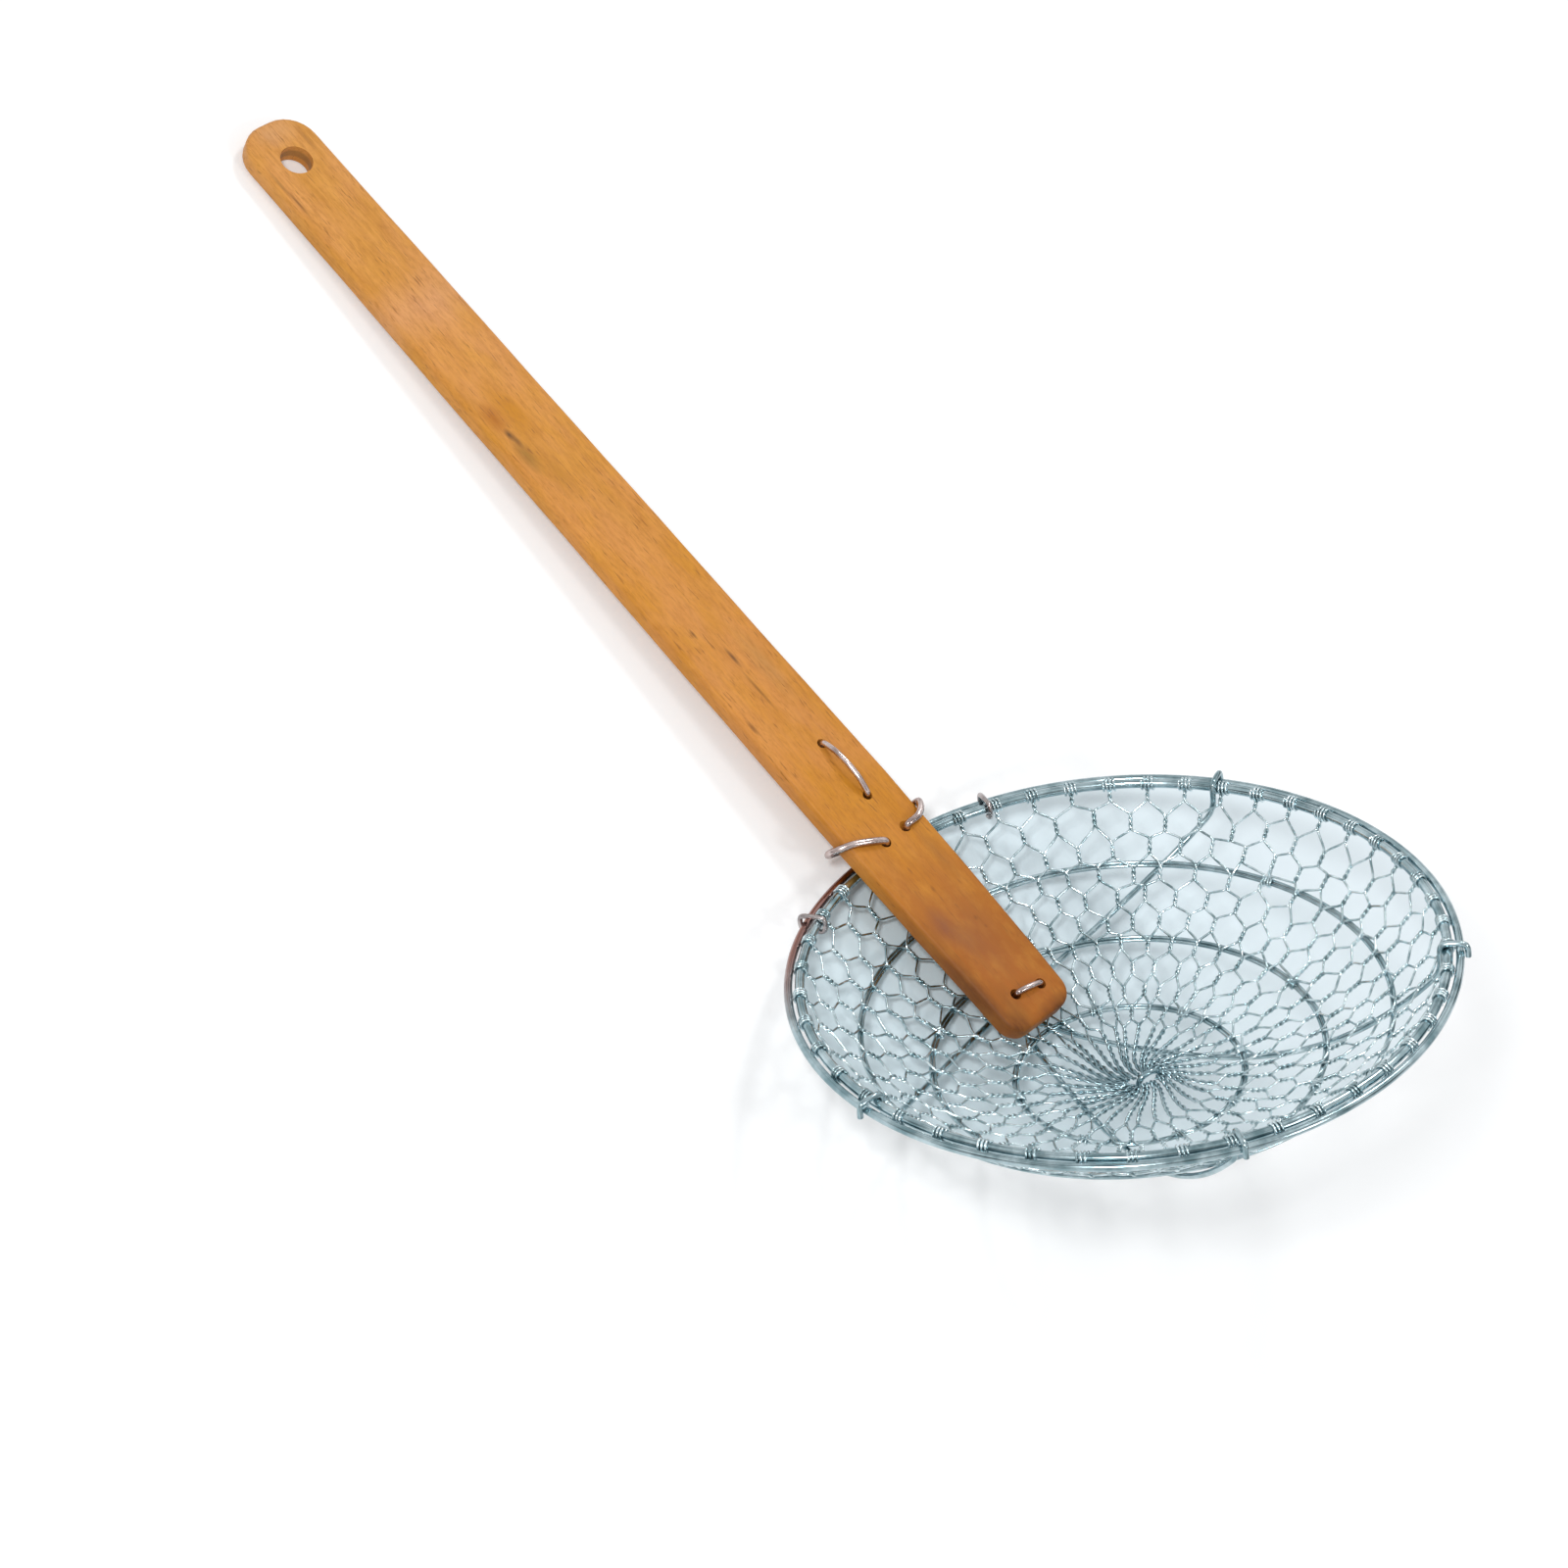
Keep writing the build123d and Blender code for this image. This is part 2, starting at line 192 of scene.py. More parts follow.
# %% [markdown]
# Operators act on whatever is selected, and loading the frame leaves its parts selected.
# So each new piece starts from an empty selection, and ends as a mesh at the origin, with
# its place in its points, riding on the one body that this rigid tool has.

# %% Helpers that start and finish a piece
def clear_selection():
    if bpy.context.object and bpy.context.object.mode == "EDIT":
        bpy.ops.object.mode_set(mode="OBJECT")
    bpy.ops.object.select_all(action="DESELECT")


def pick(piece):
    clear_selection()
    piece.select_set(True)
    bpy.context.view_layer.objects.active = piece


def finish_piece(piece, name, material, nodes, smooth_deg=60):
    pick(piece)
    piece.name = name
    piece.data.name = name
    bpy.ops.object.transform_apply(location=True, rotation=True, scale=True)
    bpy.ops.object.shade_smooth_by_angle(angle=radians(smooth_deg))
    piece.data.materials.clear()
    piece.data.materials.append(material)
    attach(piece, "root")
    if nodes:
        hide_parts(*nodes)
    piece.data.calc_loop_triangles()
    print(name, "triangles:", len(piece.data.loop_triangles))
    return piece


# %% [markdown]
# Every finish here is built from a few moves: noise stretched in a direction, a ramp, a mix of
# two colours and a soft oval spot. A small class keeps the node tree of one material and makes
# each move one call. Its Mapping nodes turn Object coordinates into the directions of the
# handle or the basket, in metres, so that a mark is placed by real sizes.

# %% Shader helpers
class Shader:
    """Adds nodes to one material and joins them, a few words at a time."""

    def __init__(self, name):
        self.material = bpy.data.materials.new(name)
        self.material.use_nodes = True
        self.tree = self.material.node_tree
        self.surface = self.tree.nodes["Principled BSDF"]

    def add(self, kind, **settings):
        node = self.tree.nodes.new(kind)
        for name, value in settings.items():
            setattr(node, name, value)
        return node

    def join(self, source, target):
        self.tree.links.new(source, target)

    def maths(self, operation, first, second=0.0, third=0.0):
        node = self.add("ShaderNodeMath", operation=operation)
        for socket, value in zip(node.inputs, (first, second, third)):
            if isinstance(value, (int, float)):
                socket.default_value = value
            else:
                self.join(value, socket)
        return node.outputs[0]

    def placed(self, place, stretch):
        """Coordinates from a place, in its own directions, stretched by a scale."""
        coordinates = self.add("ShaderNodeTexCoord")
        there = self.add("ShaderNodeMapping", vector_type="TEXTURE")
        there.inputs["Location"].default_value = place.to_translation()
        there.inputs["Rotation"].default_value = place.to_euler()
        self.join(coordinates.outputs["Object"], there.inputs["Vector"])
        scaled = self.add("ShaderNodeMapping", vector_type="POINT")
        scaled.inputs["Scale"].default_value = stretch
        self.join(there.outputs["Vector"], scaled.inputs["Vector"])
        return scaled.outputs["Vector"]

    def noise(self, vector, detail, roughness=0.55):
        """Noise whose size comes from its coordinates, so its own scale is 1."""
        node = self.add("ShaderNodeTexNoise")
        self.join(vector, node.inputs["Vector"])
        node.inputs["Scale"].default_value = 1.0
        node.inputs["Detail"].default_value = detail
        node.inputs["Roughness"].default_value = roughness
        return node.outputs["Fac"]

    def ramp(self, value, *stops):
        node = self.add("ShaderNodeValToRGB")
        bands = node.color_ramp.elements
        while len(bands) < len(stops):
            bands.new(0.5)
        for band, (at, colour) in zip(bands, stops):
            band.position = at
            band.color = (*colour, 1) if isinstance(colour, tuple) else (colour, colour, colour, 1)
        self.join(value, node.inputs["Fac"])
        return node.outputs["Color"]

    def mix(self, share, first, second):
        """Mixes two colours. Sockets 0, 6 and 7 are the node's share and its two colours."""
        node = self.add("ShaderNodeMix", data_type="RGBA")
        for at, value in ((0, share), (6, first), (7, second)):
            socket = node.inputs[at]
            if isinstance(value, (int, float)):
                socket.default_value = value
            elif isinstance(value, tuple):
                socket.default_value = (*value, 1)
            else:
                self.join(value, socket)
        return node.outputs[2]

    def veil(self, body, value, low, high, strength, colour):
        """Lays a colour over the body, more and more as a value rises from low to high."""
        return self.mix(self.ramp(value, (low, 0.0), (high, strength)), body, colour)

    def parts(self, vector):
        """A vector's parts along x, y and z."""
        node = self.add("ShaderNodeSeparateXYZ")
        self.join(vector, node.inputs[0])
        return node.outputs

    def spot(self, place, sizes, soft):
        """1 inside an oval patch about a place, falling to 0 at its edge."""
        vector = self.placed(place, [1 / size for size in sizes])
        length = self.add("ShaderNodeVectorMath", operation="LENGTH")
        self.join(vector, length.inputs[0])
        return self.ramp(length.outputs["Value"], (soft, 1.0), (1.0, 0.0))

    def relief(self, height, strength, distance):
        """Makes the surface look raised where a value is high."""
        node = self.add("ShaderNodeBump")
        node.inputs["Strength"].default_value = strength
        node.inputs["Distance"].default_value = distance
        self.join(height, node.inputs["Height"])
        self.join(node.outputs["Normal"], self.surface.inputs["Normal"])

    def dull(self):
        """Makes the surface rough, with almost no shine."""
        self.surface.inputs["Roughness"].default_value = 0.9
        self.surface.inputs["Specular IOR Level"].default_value = 0.1


def at_handle(along, across, above=handle_thickness):
    """The handle's directions moved to a place on it."""
    return handle_place @ Matrix.Translation((along, -across, above))


print("shader moves:", [name for name in vars(Shader) if not name.startswith("_")])

# %% [markdown]
# Bamboo is not one orange: it is darker and redder at the tip that sits in hot oil, and paler
# at the hanging end. A ramp along the strip gives these colours by their share of its length,
# and a slow noise moves its edges about so that no colour stops at a straight line.

# %% Bamboo's colours along the strip
colour_wander = 0.16
length_colours = (
    (0.0, (0.44, 0.135, 0.016)),
    (0.08, (0.36, 0.105, 0.013)),
    (0.13, (0.42, 0.135, 0.015)),
    (0.20, (0.56, 0.21, 0.018)),
    (0.42, (0.62, 0.25, 0.022)),
    (0.72, (0.69, 0.305, 0.055)),
    (1.0, (0.72, 0.345, 0.092)),
)


def wandering_length(shader, blotch):
    """Share of the handle's length, moved to and fro by a noise."""
    along = shader.parts(shader.placed(handle_place, (1 / handle_length, 1, 1)))[0]
    wander = shader.maths("MULTIPLY_ADD", blotch, colour_wander, -colour_wander / 2)
    return shader.maths("ADD", along, wander)


print("colours along the strip:", len(length_colours))

# %% [markdown]
# Years of use leave marks on the strip: an orange stain with dark spots half way up, thin dark
# streaks, and a tip browned by heat along its edges. Each is a soft oval with a place, a size,
# a colour and a strength. Its edge is broken up by the bamboo's own streaks, so it looks
# soaked in and not painted on.

# %% Stains and scorch marks
stain_depth = 9 * mm
stain_softness = 0.15
# along from the tip, across, length and width in mm, then colour and strength
handle_stains = (
    (259, -2, 17, 9, (0.56, 0.22, 0.006), 0.9),
    (260, -9, 8, 4.5, (0.44, 0.14, 0.002), 1.0),
    (243, -8.8, 9, 3.5, (0.26, 0.13, 0.012), 0.75),
    (252.3, -8.7, 3.0, 1.5, (0.09, 0.04, 0.008), 1.0),
    (249.3, -8.0, 3.6, 1.3, (0.12, 0.05, 0.008), 0.8),
    (231, -5, 12, 5, (0.48, 0.20, 0.012), 0.6),
    (214, 4, 26, 5, (0.55, 0.24, 0.03), 0.5),
    (164, -6.2, 2.6, 0.7, (0.09, 0.03, 0.008), 1.0),
    (150.6, -0.5, 4.8, 0.9, (0.11, 0.045, 0.01), 1.0),
    (145, 7, 18, 4, (0.33, 0.19, 0.06), 0.4),
    (137, -1.3, 10, 0.8, (0.18, 0.07, 0.012), 0.7),
    (127.8, -12.8, 3.6, 1.0, (0.10, 0.04, 0.01), 1.0),
    (357, -11.0, 7, 0.75, (0.16, 0.07, 0.02), 0.8),
    (366, -11.6, 8, 0.8, (0.26, 0.12, 0.035), 0.7),
    (377, 8.6, 7, 1.0, (0.36, 0.15, 0.04), 0.7),
    (384, 1, 7, 9, (0.60, 0.36, 0.20), 0.55),
    (38, 3.5, 1.2, 0.9, (0.14, 0.05, 0.01), 0.75),
    (34, 4.4, 0.9, 0.7, (0.12, 0.04, 0.01), 0.6),
    (53, -1.5, 1.6, 0.8, (0.16, 0.06, 0.012), 0.6),
    (28, -1, 15, 9, (0.28, 0.09, 0.03), 0.4),
    (41, -8, 9, 5.5, (0.24, 0.08, 0.035), 0.75),
    (34, -4, 8, 5, (0.25, 0.085, 0.03), 0.6),
    (40, 4, 12, 7, (0.32, 0.115, 0.03), 0.3),
    (6, -9, 15, 6, (0.17, 0.055, 0.012), 0.55),
    (22, -15, 34, 4.5, (0.16, 0.05, 0.012), 0.85),
    (62, 9, 14, 3, (0.30, 0.12, 0.03), 0.45),
    (5, 3, 10, 10, (0.34, 0.10, 0.02), 0.4),
    (0, 5, 5, 13, (0.10, 0.03, 0.008), 1.0),
    (1, -13, 9, 7, (0.10, 0.03, 0.008), 1.0),
    (16, -15.5, 18, 4, (0.12, 0.04, 0.01), 1.0),
)


def stained(shader, body, streaks):
    soaked = shader.ramp(streaks, (0.3, 0.45), (0.6, 1.0))
    for along, across, length, width, colour, strength in handle_stains:
        place = at_handle(along * mm, across * mm)
        patch = shader.spot(place, (length * mm, width * mm, stain_depth), stain_softness)
        ragged = shader.maths("MULTIPLY", patch, soaked)
        body = shader.mix(shader.maths("MULTIPLY", ragged, strength), body, colour)
    return body


print("marks on the handle:", len(handle_stains))

# %% [markdown]
# Bamboo is a bundle of fibres, so its grain is noise drawn out along the strip: broad streaks,
# fine fibres, short dark dashes and a grain between them. Each is a veil over the colour
# below. The pale band of the node, where a leaf once grew, is one wide spot, and the hole's
# wall is browner because it shows the fibres' cut ends. The fibres also give a faint relief.

# %% Bamboo
node_at = 306 * mm
node_size = (13 * mm, 60 * mm, 60 * mm)
hole_wall_size = (6.1 * mm, 6.1 * mm, 4 * mm)


def bamboo_grain(shader, stretch, detail, roughness=0.55):
    """Noise stretched along, across and through the strip."""
    return shader.noise(shader.placed(handle_place, stretch), detail, roughness)


def bamboo_material():
    shader = Shader("bamboo")
    blotch = bamboo_grain(shader, (16, 48, 48), 4)
    fibres = bamboo_grain(shader, (60, 1500, 1100), 6, 0.7)
    streaks = bamboo_grain(shader, (14, 190, 150), 5)
    mottle = bamboo_grain(shader, (95, 160, 160), 4, 0.6)
    hue = bamboo_grain(shader, (36, 75, 75), 3)
    dashes = bamboo_grain(shader, (170, 1500, 900), 2)
    grain = bamboo_grain(shader, (260, 900, 900), 3, 0.7)

    along = wandering_length(shader, blotch)
    body = shader.ramp(along, *length_colours)
    body = shader.veil(body, streaks, 0.42, 0.72, 0.5, (0.40, 0.135, 0.018))
    body = shader.veil(body, fibres, 0.42, 0.68, 0.5, (0.36, 0.13, 0.018))
    body = shader.veil(body, mottle, 0.45, 0.8, 0.4, (0.70, 0.32, 0.05))
    patches = shader.ramp(hue, (0.38, (0.74, 0.32, 0.105)), (0.62, (0.62, 0.265, 0.014)))
    body = shader.veil(body, along, 0.1, 0.3, 0.34, patches)
    node_band = shader.spot(at_handle(node_at, 0), node_size, 0.1)
    body = shader.mix(shader.maths("MULTIPLY", node_band, 0.4), body, (0.72, 0.36, 0.19))
    body = stained(shader, body, streaks)
    body = shader.veil(body, dashes, 0.62, 0.72, 0.65, (0.24, 0.085, 0.018))
    body = shader.veil(body, grain, 0.45, 0.72, 0.4, (0.36, 0.12, 0.015))
    hole_middle = at_handle(handle_length - hanging_hole_from_end, 0, handle_thickness / 2)
    hole_wall = shader.spot(hole_middle, hole_wall_size, 0.93)
    body = shader.mix(shader.maths("MULTIPLY", hole_wall, 0.55), body, (0.24, 0.125, 0.04))

    shader.join(body, shader.surface.inputs["Base Color"])
    polish = shader.ramp(blotch, (0.3, 0.40), (0.7, 0.56))
    shader.join(polish, shader.surface.inputs["Roughness"])
    shader.surface.inputs["Specular IOR Level"].default_value = 0.22
    raised_band = shader.maths("MULTIPLY", node_band, 0.8)
    raised = shader.maths("MULTIPLY_ADD", fibres, 0.6, raised_band)
    shader.relief(raised, 0.35, 0.2 * mm)
    return shader.material


bamboo = bamboo_material()
print("bamboo nodes:", len(bamboo.node_tree.nodes))

# %% [markdown]
# The basket's wire is galvanised steel: a grey-green metal whose zinc clouds its brightness a
# little from place to place. The clips and the lashing wire are plainer and warmer. All are
# the same shader with different colours, because a metal's look is mostly what it reflects.

# %% Metals
pit_scale = 1600


def wire_material(name, colours, roughness, cloud_scale, painted_spot=None):
    shader = Shader(name)
    clouds = shader.noise(shader.placed(basket_place, (cloud_scale,) * 3), 4)
    pits = shader.noise(shader.placed(basket_place, (pit_scale,) * 3), 2)
    dark, light = colours
    colour = shader.ramp(clouds, (0.35, dark), (0.65, light))
    # A painted spot: a colour laid over the metal where light or shade is painted on it.
    if painted_spot:
        middle, reach, soft, painted_colour = painted_spot
        there = shader.spot(basket_place @ Matrix.Translation(middle), (reach,) * 3, soft)
        colour = shader.mix(there, colour, painted_colour)
    shader.join(colour, shader.surface.inputs["Base Color"])
    low, high = roughness
    shader.join(shader.ramp(clouds, (0.35, low), (0.7, high)), shader.surface.inputs["Roughness"])
    shader.surface.inputs["Metallic"].default_value = 1.0
    shader.relief(pits, 0.25, 0.03 * mm)
    return shader.material


zinc = ((0.18, 0.28, 0.31), (0.50, 0.62, 0.66))
bright_zinc = ((0.25, 0.36, 0.39), (0.76, 0.88, 0.92))
plain_steel = ((0.30, 0.27, 0.27), (0.60, 0.55, 0.54))
warm_steel = ((0.36, 0.27, 0.25), (0.68, 0.58, 0.56))
print("zinc colours, dark and light:", zinc)

# %% [markdown]
# Two soft spots of another colour are painted on the metal. Near the handle the outer rim is
# tinted brown, a painted reflection and shade of the bamboo, and the net's middle is darker, a
# painted shade where the spokes crowd. Each spot is given by its middle on the level basket,
# its reach, its softness and its colour.

# %% The basket's five wires
# Painted reflection and shade of the handle: a brown tint on the outer rim near it.
handle_reflection_shade = ((-92 * mm, -38 * mm, 0), 62 * mm, 0.35, (0.32, 0.18, 0.16))
# Painted shade: the net's middle made darker where the spokes crowd.
painted_middle_shade = ((0, 0, -bowl_depth), 42 * mm, 0.1, (0.24, 0.35, 0.39))
basket_steel = wire_material("galvanised_wire", zinc, (0.09, 0.25), 120)
outer_steel = wire_material("outer_rim_wire", zinc, (0.09, 0.25), 120, handle_reflection_shade)
net_steel = wire_material("net_wire", bright_zinc, (0.10, 0.24), 260, painted_middle_shade)
clip_steel = wire_material("clip_wire", plain_steel, (0.14, 0.30), 260)
lashing_steel = wire_material("lashing_wire", warm_steel, (0.16, 0.32), 160)
for metal in (basket_steel, outer_steel, net_steel, clip_steel, lashing_steel):
    print(metal.name, "nodes:", len(metal.node_tree.nodes))

# %% [markdown]
# The handle is cut like the real one: a flat outline that is widest where it lies on the rims,
# with rounded corners. Its width is worked out from four measured places, so that the ties can
# ask for it again later. The near corner of the tip is worn narrower, and both edges waver by
# a fifth of a millimetre, as a hand-planed strip's do.

# %% Handle outline
tip_half = 14.5 * mm
waist_half = 15.75 * mm
waist_at = 95.0 * mm
end_half = 13.5 * mm
tip_corner = 6.5 * mm
end_corner = 11.0 * mm
corner_steps = 7
straight_steps = 30
tip_wear = 1.5 * mm
tip_wear_reach = 60 * mm
edge_waver = 0.22 * mm
long_wave = 17 * mm
short_wave = 6.1 * mm


def half_width(along):
    if along < waist_at:
        return tip_half + (waist_half - tip_half) * along / waist_at
    share = (along - waist_at) / (handle_length - waist_at)
    return waist_half + (end_half - waist_half) * share


def corner_loss(gap, radius):
    """How much a rounded corner takes off the half width, at a gap from the end."""
    inside = radius - min(max(gap, 0), radius)
    return radius - sqrt(radius**2 - inside**2)


def edge_loss(at, side):
    """How much wavering, wear and rounded corners take off one side's half width."""
    waver = 0.5 + 0.3 * sin(at / long_wave + side) + 0.2 * sin(at / short_wave - 2 * side)
    calm = min(1, at / tip_corner / 3, (handle_length - at) / end_corner / 2)
    worn = tip_wear * max(0, 1 - at / tip_wear_reach) ** 2 if side < 0 else 0
    corner = max(corner_loss(at, tip_corner), corner_loss(handle_length - at, end_corner))
    return edge_waver * waver * calm + worn + corner


def outline_stations():
    """Places of the outline's points along the handle: close together at its corners."""
    turns = [pi / 2 * step / corner_steps for step in range(1, corner_steps + 1)]
    near = [tip_corner * (1 - cos(turn)) for turn in turns]
    far = [handle_length - end_corner * (1 - cos(turn)) for turn in reversed(turns)]
    spacing = (far[0] - near[-1]) / straight_steps
    between = [near[-1] + spacing * step for step in range(1, straight_steps)]
    return near + between + far


print("outline stations:", len(outline_stations()))

# %% [markdown]
# The strip starts as a plane of its length, is cut across at each station, and its points are
# moved in to the outline. The cuts are then dissolved, so that one clean face is left to
# extrude to the thickness. Last, a bevel eases the long edges, which on the real handle are
# rounded by a few strokes of sandpaper.

# %% The handle's strip
edge_ease = 1.6 * mm
sharp_edge = radians(80)


def handle_slab():
    clear_selection()
    bpy.ops.mesh.primitive_plane_add(size=1, location=(handle_length / 2, 0, 0))
    slab = bpy.context.object
    slab.scale = (handle_length, 2 * tip_half, 1)
    bpy.ops.object.transform_apply(location=True, rotation=True, scale=True)
    bpy.ops.object.mode_set(mode="EDIT")
    for station in outline_stations():
        bpy.ops.mesh.select_all(action="SELECT")
        bpy.ops.mesh.bisect(plane_co=(station, 0, 0), plane_no=(1, 0, 0))
    mesh = bmesh.from_edit_mesh(slab.data)
    for vertex in mesh.verts:
        at = vertex.co.x
        side = 1 if vertex.co.y > 0 else -1
        vertex.co.y = side * (half_width(at) - edge_loss(at, side))
    bpy.ops.mesh.select_mode(type="EDGE")
    bpy.ops.mesh.select_all(action="DESELECT")
    for edge in mesh.edges:
        edge.select_set(len(edge.link_faces) == 2)
    bmesh.update_edit_mesh(slab.data)
    bpy.ops.mesh.dissolve_edges(use_verts=False)
    bpy.ops.mesh.select_all(action="SELECT")
    bpy.ops.mesh.extrude_region_move(TRANSFORM_OT_translate={"value": (0, 0, handle_thickness)})
    bpy.ops.mesh.select_all(action="SELECT")
    bpy.ops.mesh.normals_make_consistent(inside=False)
    bpy.ops.mesh.select_all(action="DESELECT")
    mesh = bmesh.from_edit_mesh(slab.data)
    for edge in mesh.edges:
        level = abs(edge.verts[0].co.z - edge.verts[1].co.z) < edge_ease
        if level and len(edge.link_faces) == 2:
            edge.select_set(edge.calc_face_angle(0) > sharp_edge)
    bmesh.update_edit_mesh(slab.data)
    bpy.ops.mesh.bevel(offset=edge_ease, segments=4, affect="EDGES", profile=0.5)
    bpy.ops.object.mode_set(mode="OBJECT")
    return slab


handle_piece = handle_slab()
print("strip corners:", len(handle_piece.data.vertices))

# %% [markdown]
# The holes are drilled with a boolean, as a drill would, after the edges are eased, so that
# they stay crisp. The tie holes lean: each starts in the under face where the wire comes up
# and ends a few millimetres further along in the top face. A leaning drill is a cylinder whose
# points slide sideways with their height.

# %% Drill the handle's holes
hanging_hole_radius = 5.5 * mm
tie_hole_radius = 1.9 * mm
long_staple_hole_radius = 1.6 * mm
tip_staple_hole_radius = 1.8 * mm
tie_hole_at = 69.3 * mm
left_tie_across = -1.2 * mm
right_tie_across = 8.4 * mm
left_tie_top = (73.9 * mm, -3.3 * mm)
right_tie_top = (74.6 * mm, 6.4 * mm)
long_staple_at = (89.5 * mm, 111.5 * mm)
long_staple_across = 3.4 * mm
tip_staple_holes = ((11.2 * mm, -4.3 * mm), (9.4 * mm, 5.5 * mm))
drill_holes = [
    ((handle_length - hanging_hole_from_end, 0), None, hanging_hole_radius),
    ((tie_hole_at, left_tie_across), left_tie_top, tie_hole_radius),
    ((tie_hole_at, right_tie_across), right_tie_top, tie_hole_radius),
]
drill_holes += [((at, long_staple_across), None, long_staple_hole_radius) for at in long_staple_at]
drill_holes += [(place, None, tip_staple_hole_radius) for place in tip_staple_holes]


def drill(slab, foot, top, radius):
    """Drills from a place in the under face, leaning to a place in the top face if given."""
    clear_selection()
    sides = 48 if radius == hanging_hole_radius else 24
    bpy.ops.mesh.primitive_cylinder_add(vertices=sides, radius=radius, depth=3 * handle_thickness)
    cutter = bpy.context.object
    lean = Vector((0, 0, 0))
    if top:
        lean = Vector((top[0] - foot[0], foot[1] - top[1], 0)) / handle_thickness
    for vertex in cutter.data.vertices:
        vertex.co += lean * vertex.co.z + Vector((foot[0], -foot[1], 0))
    pick(slab)
    cut = slab.modifiers.new("drill", "BOOLEAN")
    cut.operation = "DIFFERENCE"
    cut.solver = "EXACT"
    cut.object = cutter
    bpy.ops.object.modifier_apply(modifier=cut.name)
    bpy.data.objects.remove(cutter)


for foot, top, radius in drill_holes:
    drill(handle_piece, foot, top, radius)
handle_piece.data.transform(handle_place)
finish_piece(handle_piece, "bamboo_handle", bamboo, ["handle"], smooth_deg=35)

# %% [markdown]
# Wires are curves with a round bevel. A bent wire is a smooth curve drawn inside a route of
# straight runs, whose corners are first cut to two gentler ones, as a bender's jaws leave
# them. Converting to a mesh at the end fixes the shape.

# %% Wire helpers
def eased(points, corner):
    route = [points[0]]
    for before, at, after in zip(points, points[1:], points[2:]):
        route.append(at + (before - at).normalized() * corner)
        route.append(at + (after - at).normalized() * corner)
    return route + [points[-1]]


def wires(routes, diameter, roundness, smooth):
    """One mesh of round wires along routes. Smooth is the steps between two route points of a
    smooth curve drawn inside the route's corners, or 0 for straight runs."""
    clear_selection()
    curve = bpy.data.curves.new("wires", "CURVE")
    curve.dimensions = "3D"
    for route in routes:
        spline = curve.splines.new("NURBS" if smooth else "POLY")
        spline.points.add(len(route) - 1)
        flat = [value for point in route for value in (*point, 1.0)]
        spline.points.foreach_set("co", flat)
        if smooth:
            spline.use_endpoint_u = True
            spline.order_u = 3
            spline.resolution_u = smooth
        spline.use_smooth = True
    curve.bevel_depth = diameter / 2
    curve.bevel_resolution = roundness
    curve.use_fill_caps = True
    piece = bpy.data.objects.new("wires", curve)
    bpy.context.scene.collection.objects.link(piece)
    pick(piece)
    bpy.ops.object.convert(target="MESH")
    return bpy.context.object


bend = [Vector((0, 0, 0)), Vector((1, 0, 0)), Vector((1, 1, 0))]
print("points of a bend, before and after it is eased:", len(bend), len(eased(bend, 0.1)))

# %% [markdown]
# The two rims are plain closed rings. A torus of many fine sides is the right primitive for
# them. The outer one sits a little lower, and near the handle it is tinted brown, a painted
# reflection and shade of the bamboo.

# %% The two rims
ring_sides = 160
ring_wire_sides = 12


def ring(radius, wire, height):
    clear_selection()
    bpy.ops.mesh.primitive_torus_add(
        major_radius=radius, minor_radius=wire / 2,
        major_segments=ring_sides, minor_segments=ring_wire_sides,
        location=(0, 0, height),
    )
    piece = bpy.context.object
    bpy.ops.object.transform_apply(location=True, rotation=True, scale=True)
    piece.data.transform(basket_place)
    return piece


inner = ring(net_rim_radius, net_rim_wire, 0)
finish_piece(inner, "net_rim", basket_steel, ["net_rim_ring"])
outer = ring(outer_rim_radius, outer_rim_wire, -outer_rim_drop)
finish_piece(outer, "outer_rim", outer_steel, ["outer_rim_ring"])

# %% [markdown]
# Three pairs of thinner rings lie under the net and keep its shape. The two rings of a pair
# touch side by side along the wall, so each pair is two tori, spread in the direction in which
# the bowl leans there, and joined to one piece.

# %% Support rings
solid_net_half = 0.35 * mm
support_wire = 1.1 * mm
ring_gap = 0.05 * mm
ring_net_gap = 0.15 * mm
ring_drop = solid_net_half + support_wire / 2 + ring_net_gap
ring_radii = {"upper": 79.5 * mm, "middle": 59.2 * mm, "lower": 34.7 * mm}
for label, radius in ring_radii.items():
    pair = []
    lean = bowl_lean(radius)
    centre = on_bowl(radius, 0, ring_drop)
    for side in (-1, 1):
        spread = side * (support_wire + ring_gap) / 2
        out, up = spread * cos(lean), spread * sin(lean)
        pair.append(ring(centre.x + out, support_wire, centre.z + up))
    pick(pair[0])
    pair[1].select_set(True)
    bpy.ops.object.join()
    node = f"{label}_support_ring"
    finish_piece(pair[0], f"{label}_ring_pair", basket_steel, [node])

# %% [markdown]
# The net is the skimmer's real craft. Each loop of wire is wound three and a half times
# round the rim, and its two legs run down the bowl. A leg twists with its neighbour on one
# side, parts, twists with the neighbour on the other side, and so on, which leaves
# hexagons. The twists lie in rows, so their rows are placed first: three down the wall before
# each ring, then one more, with the same share of every row's length taken by its twist.

# %% Places of the net's columns and rows
column_count = 46
first_column = radians(3.2)
crowding = radians(5.5)
crowding_from = radians(270)
rows_per_ring = 3
last_twist_radius = 25.5 * mm
rows_between_rings = (
    (net_rim_radius, ring_radii["upper"], rows_per_ring),
    (ring_radii["upper"], ring_radii["middle"], rows_per_ring),
    (ring_radii["middle"], ring_radii["lower"], rows_per_ring),
    (ring_radii["lower"], last_twist_radius, 1),
)
twisted_share = 0.64
wall_steps = 40
wall_step = 0.1 * mm


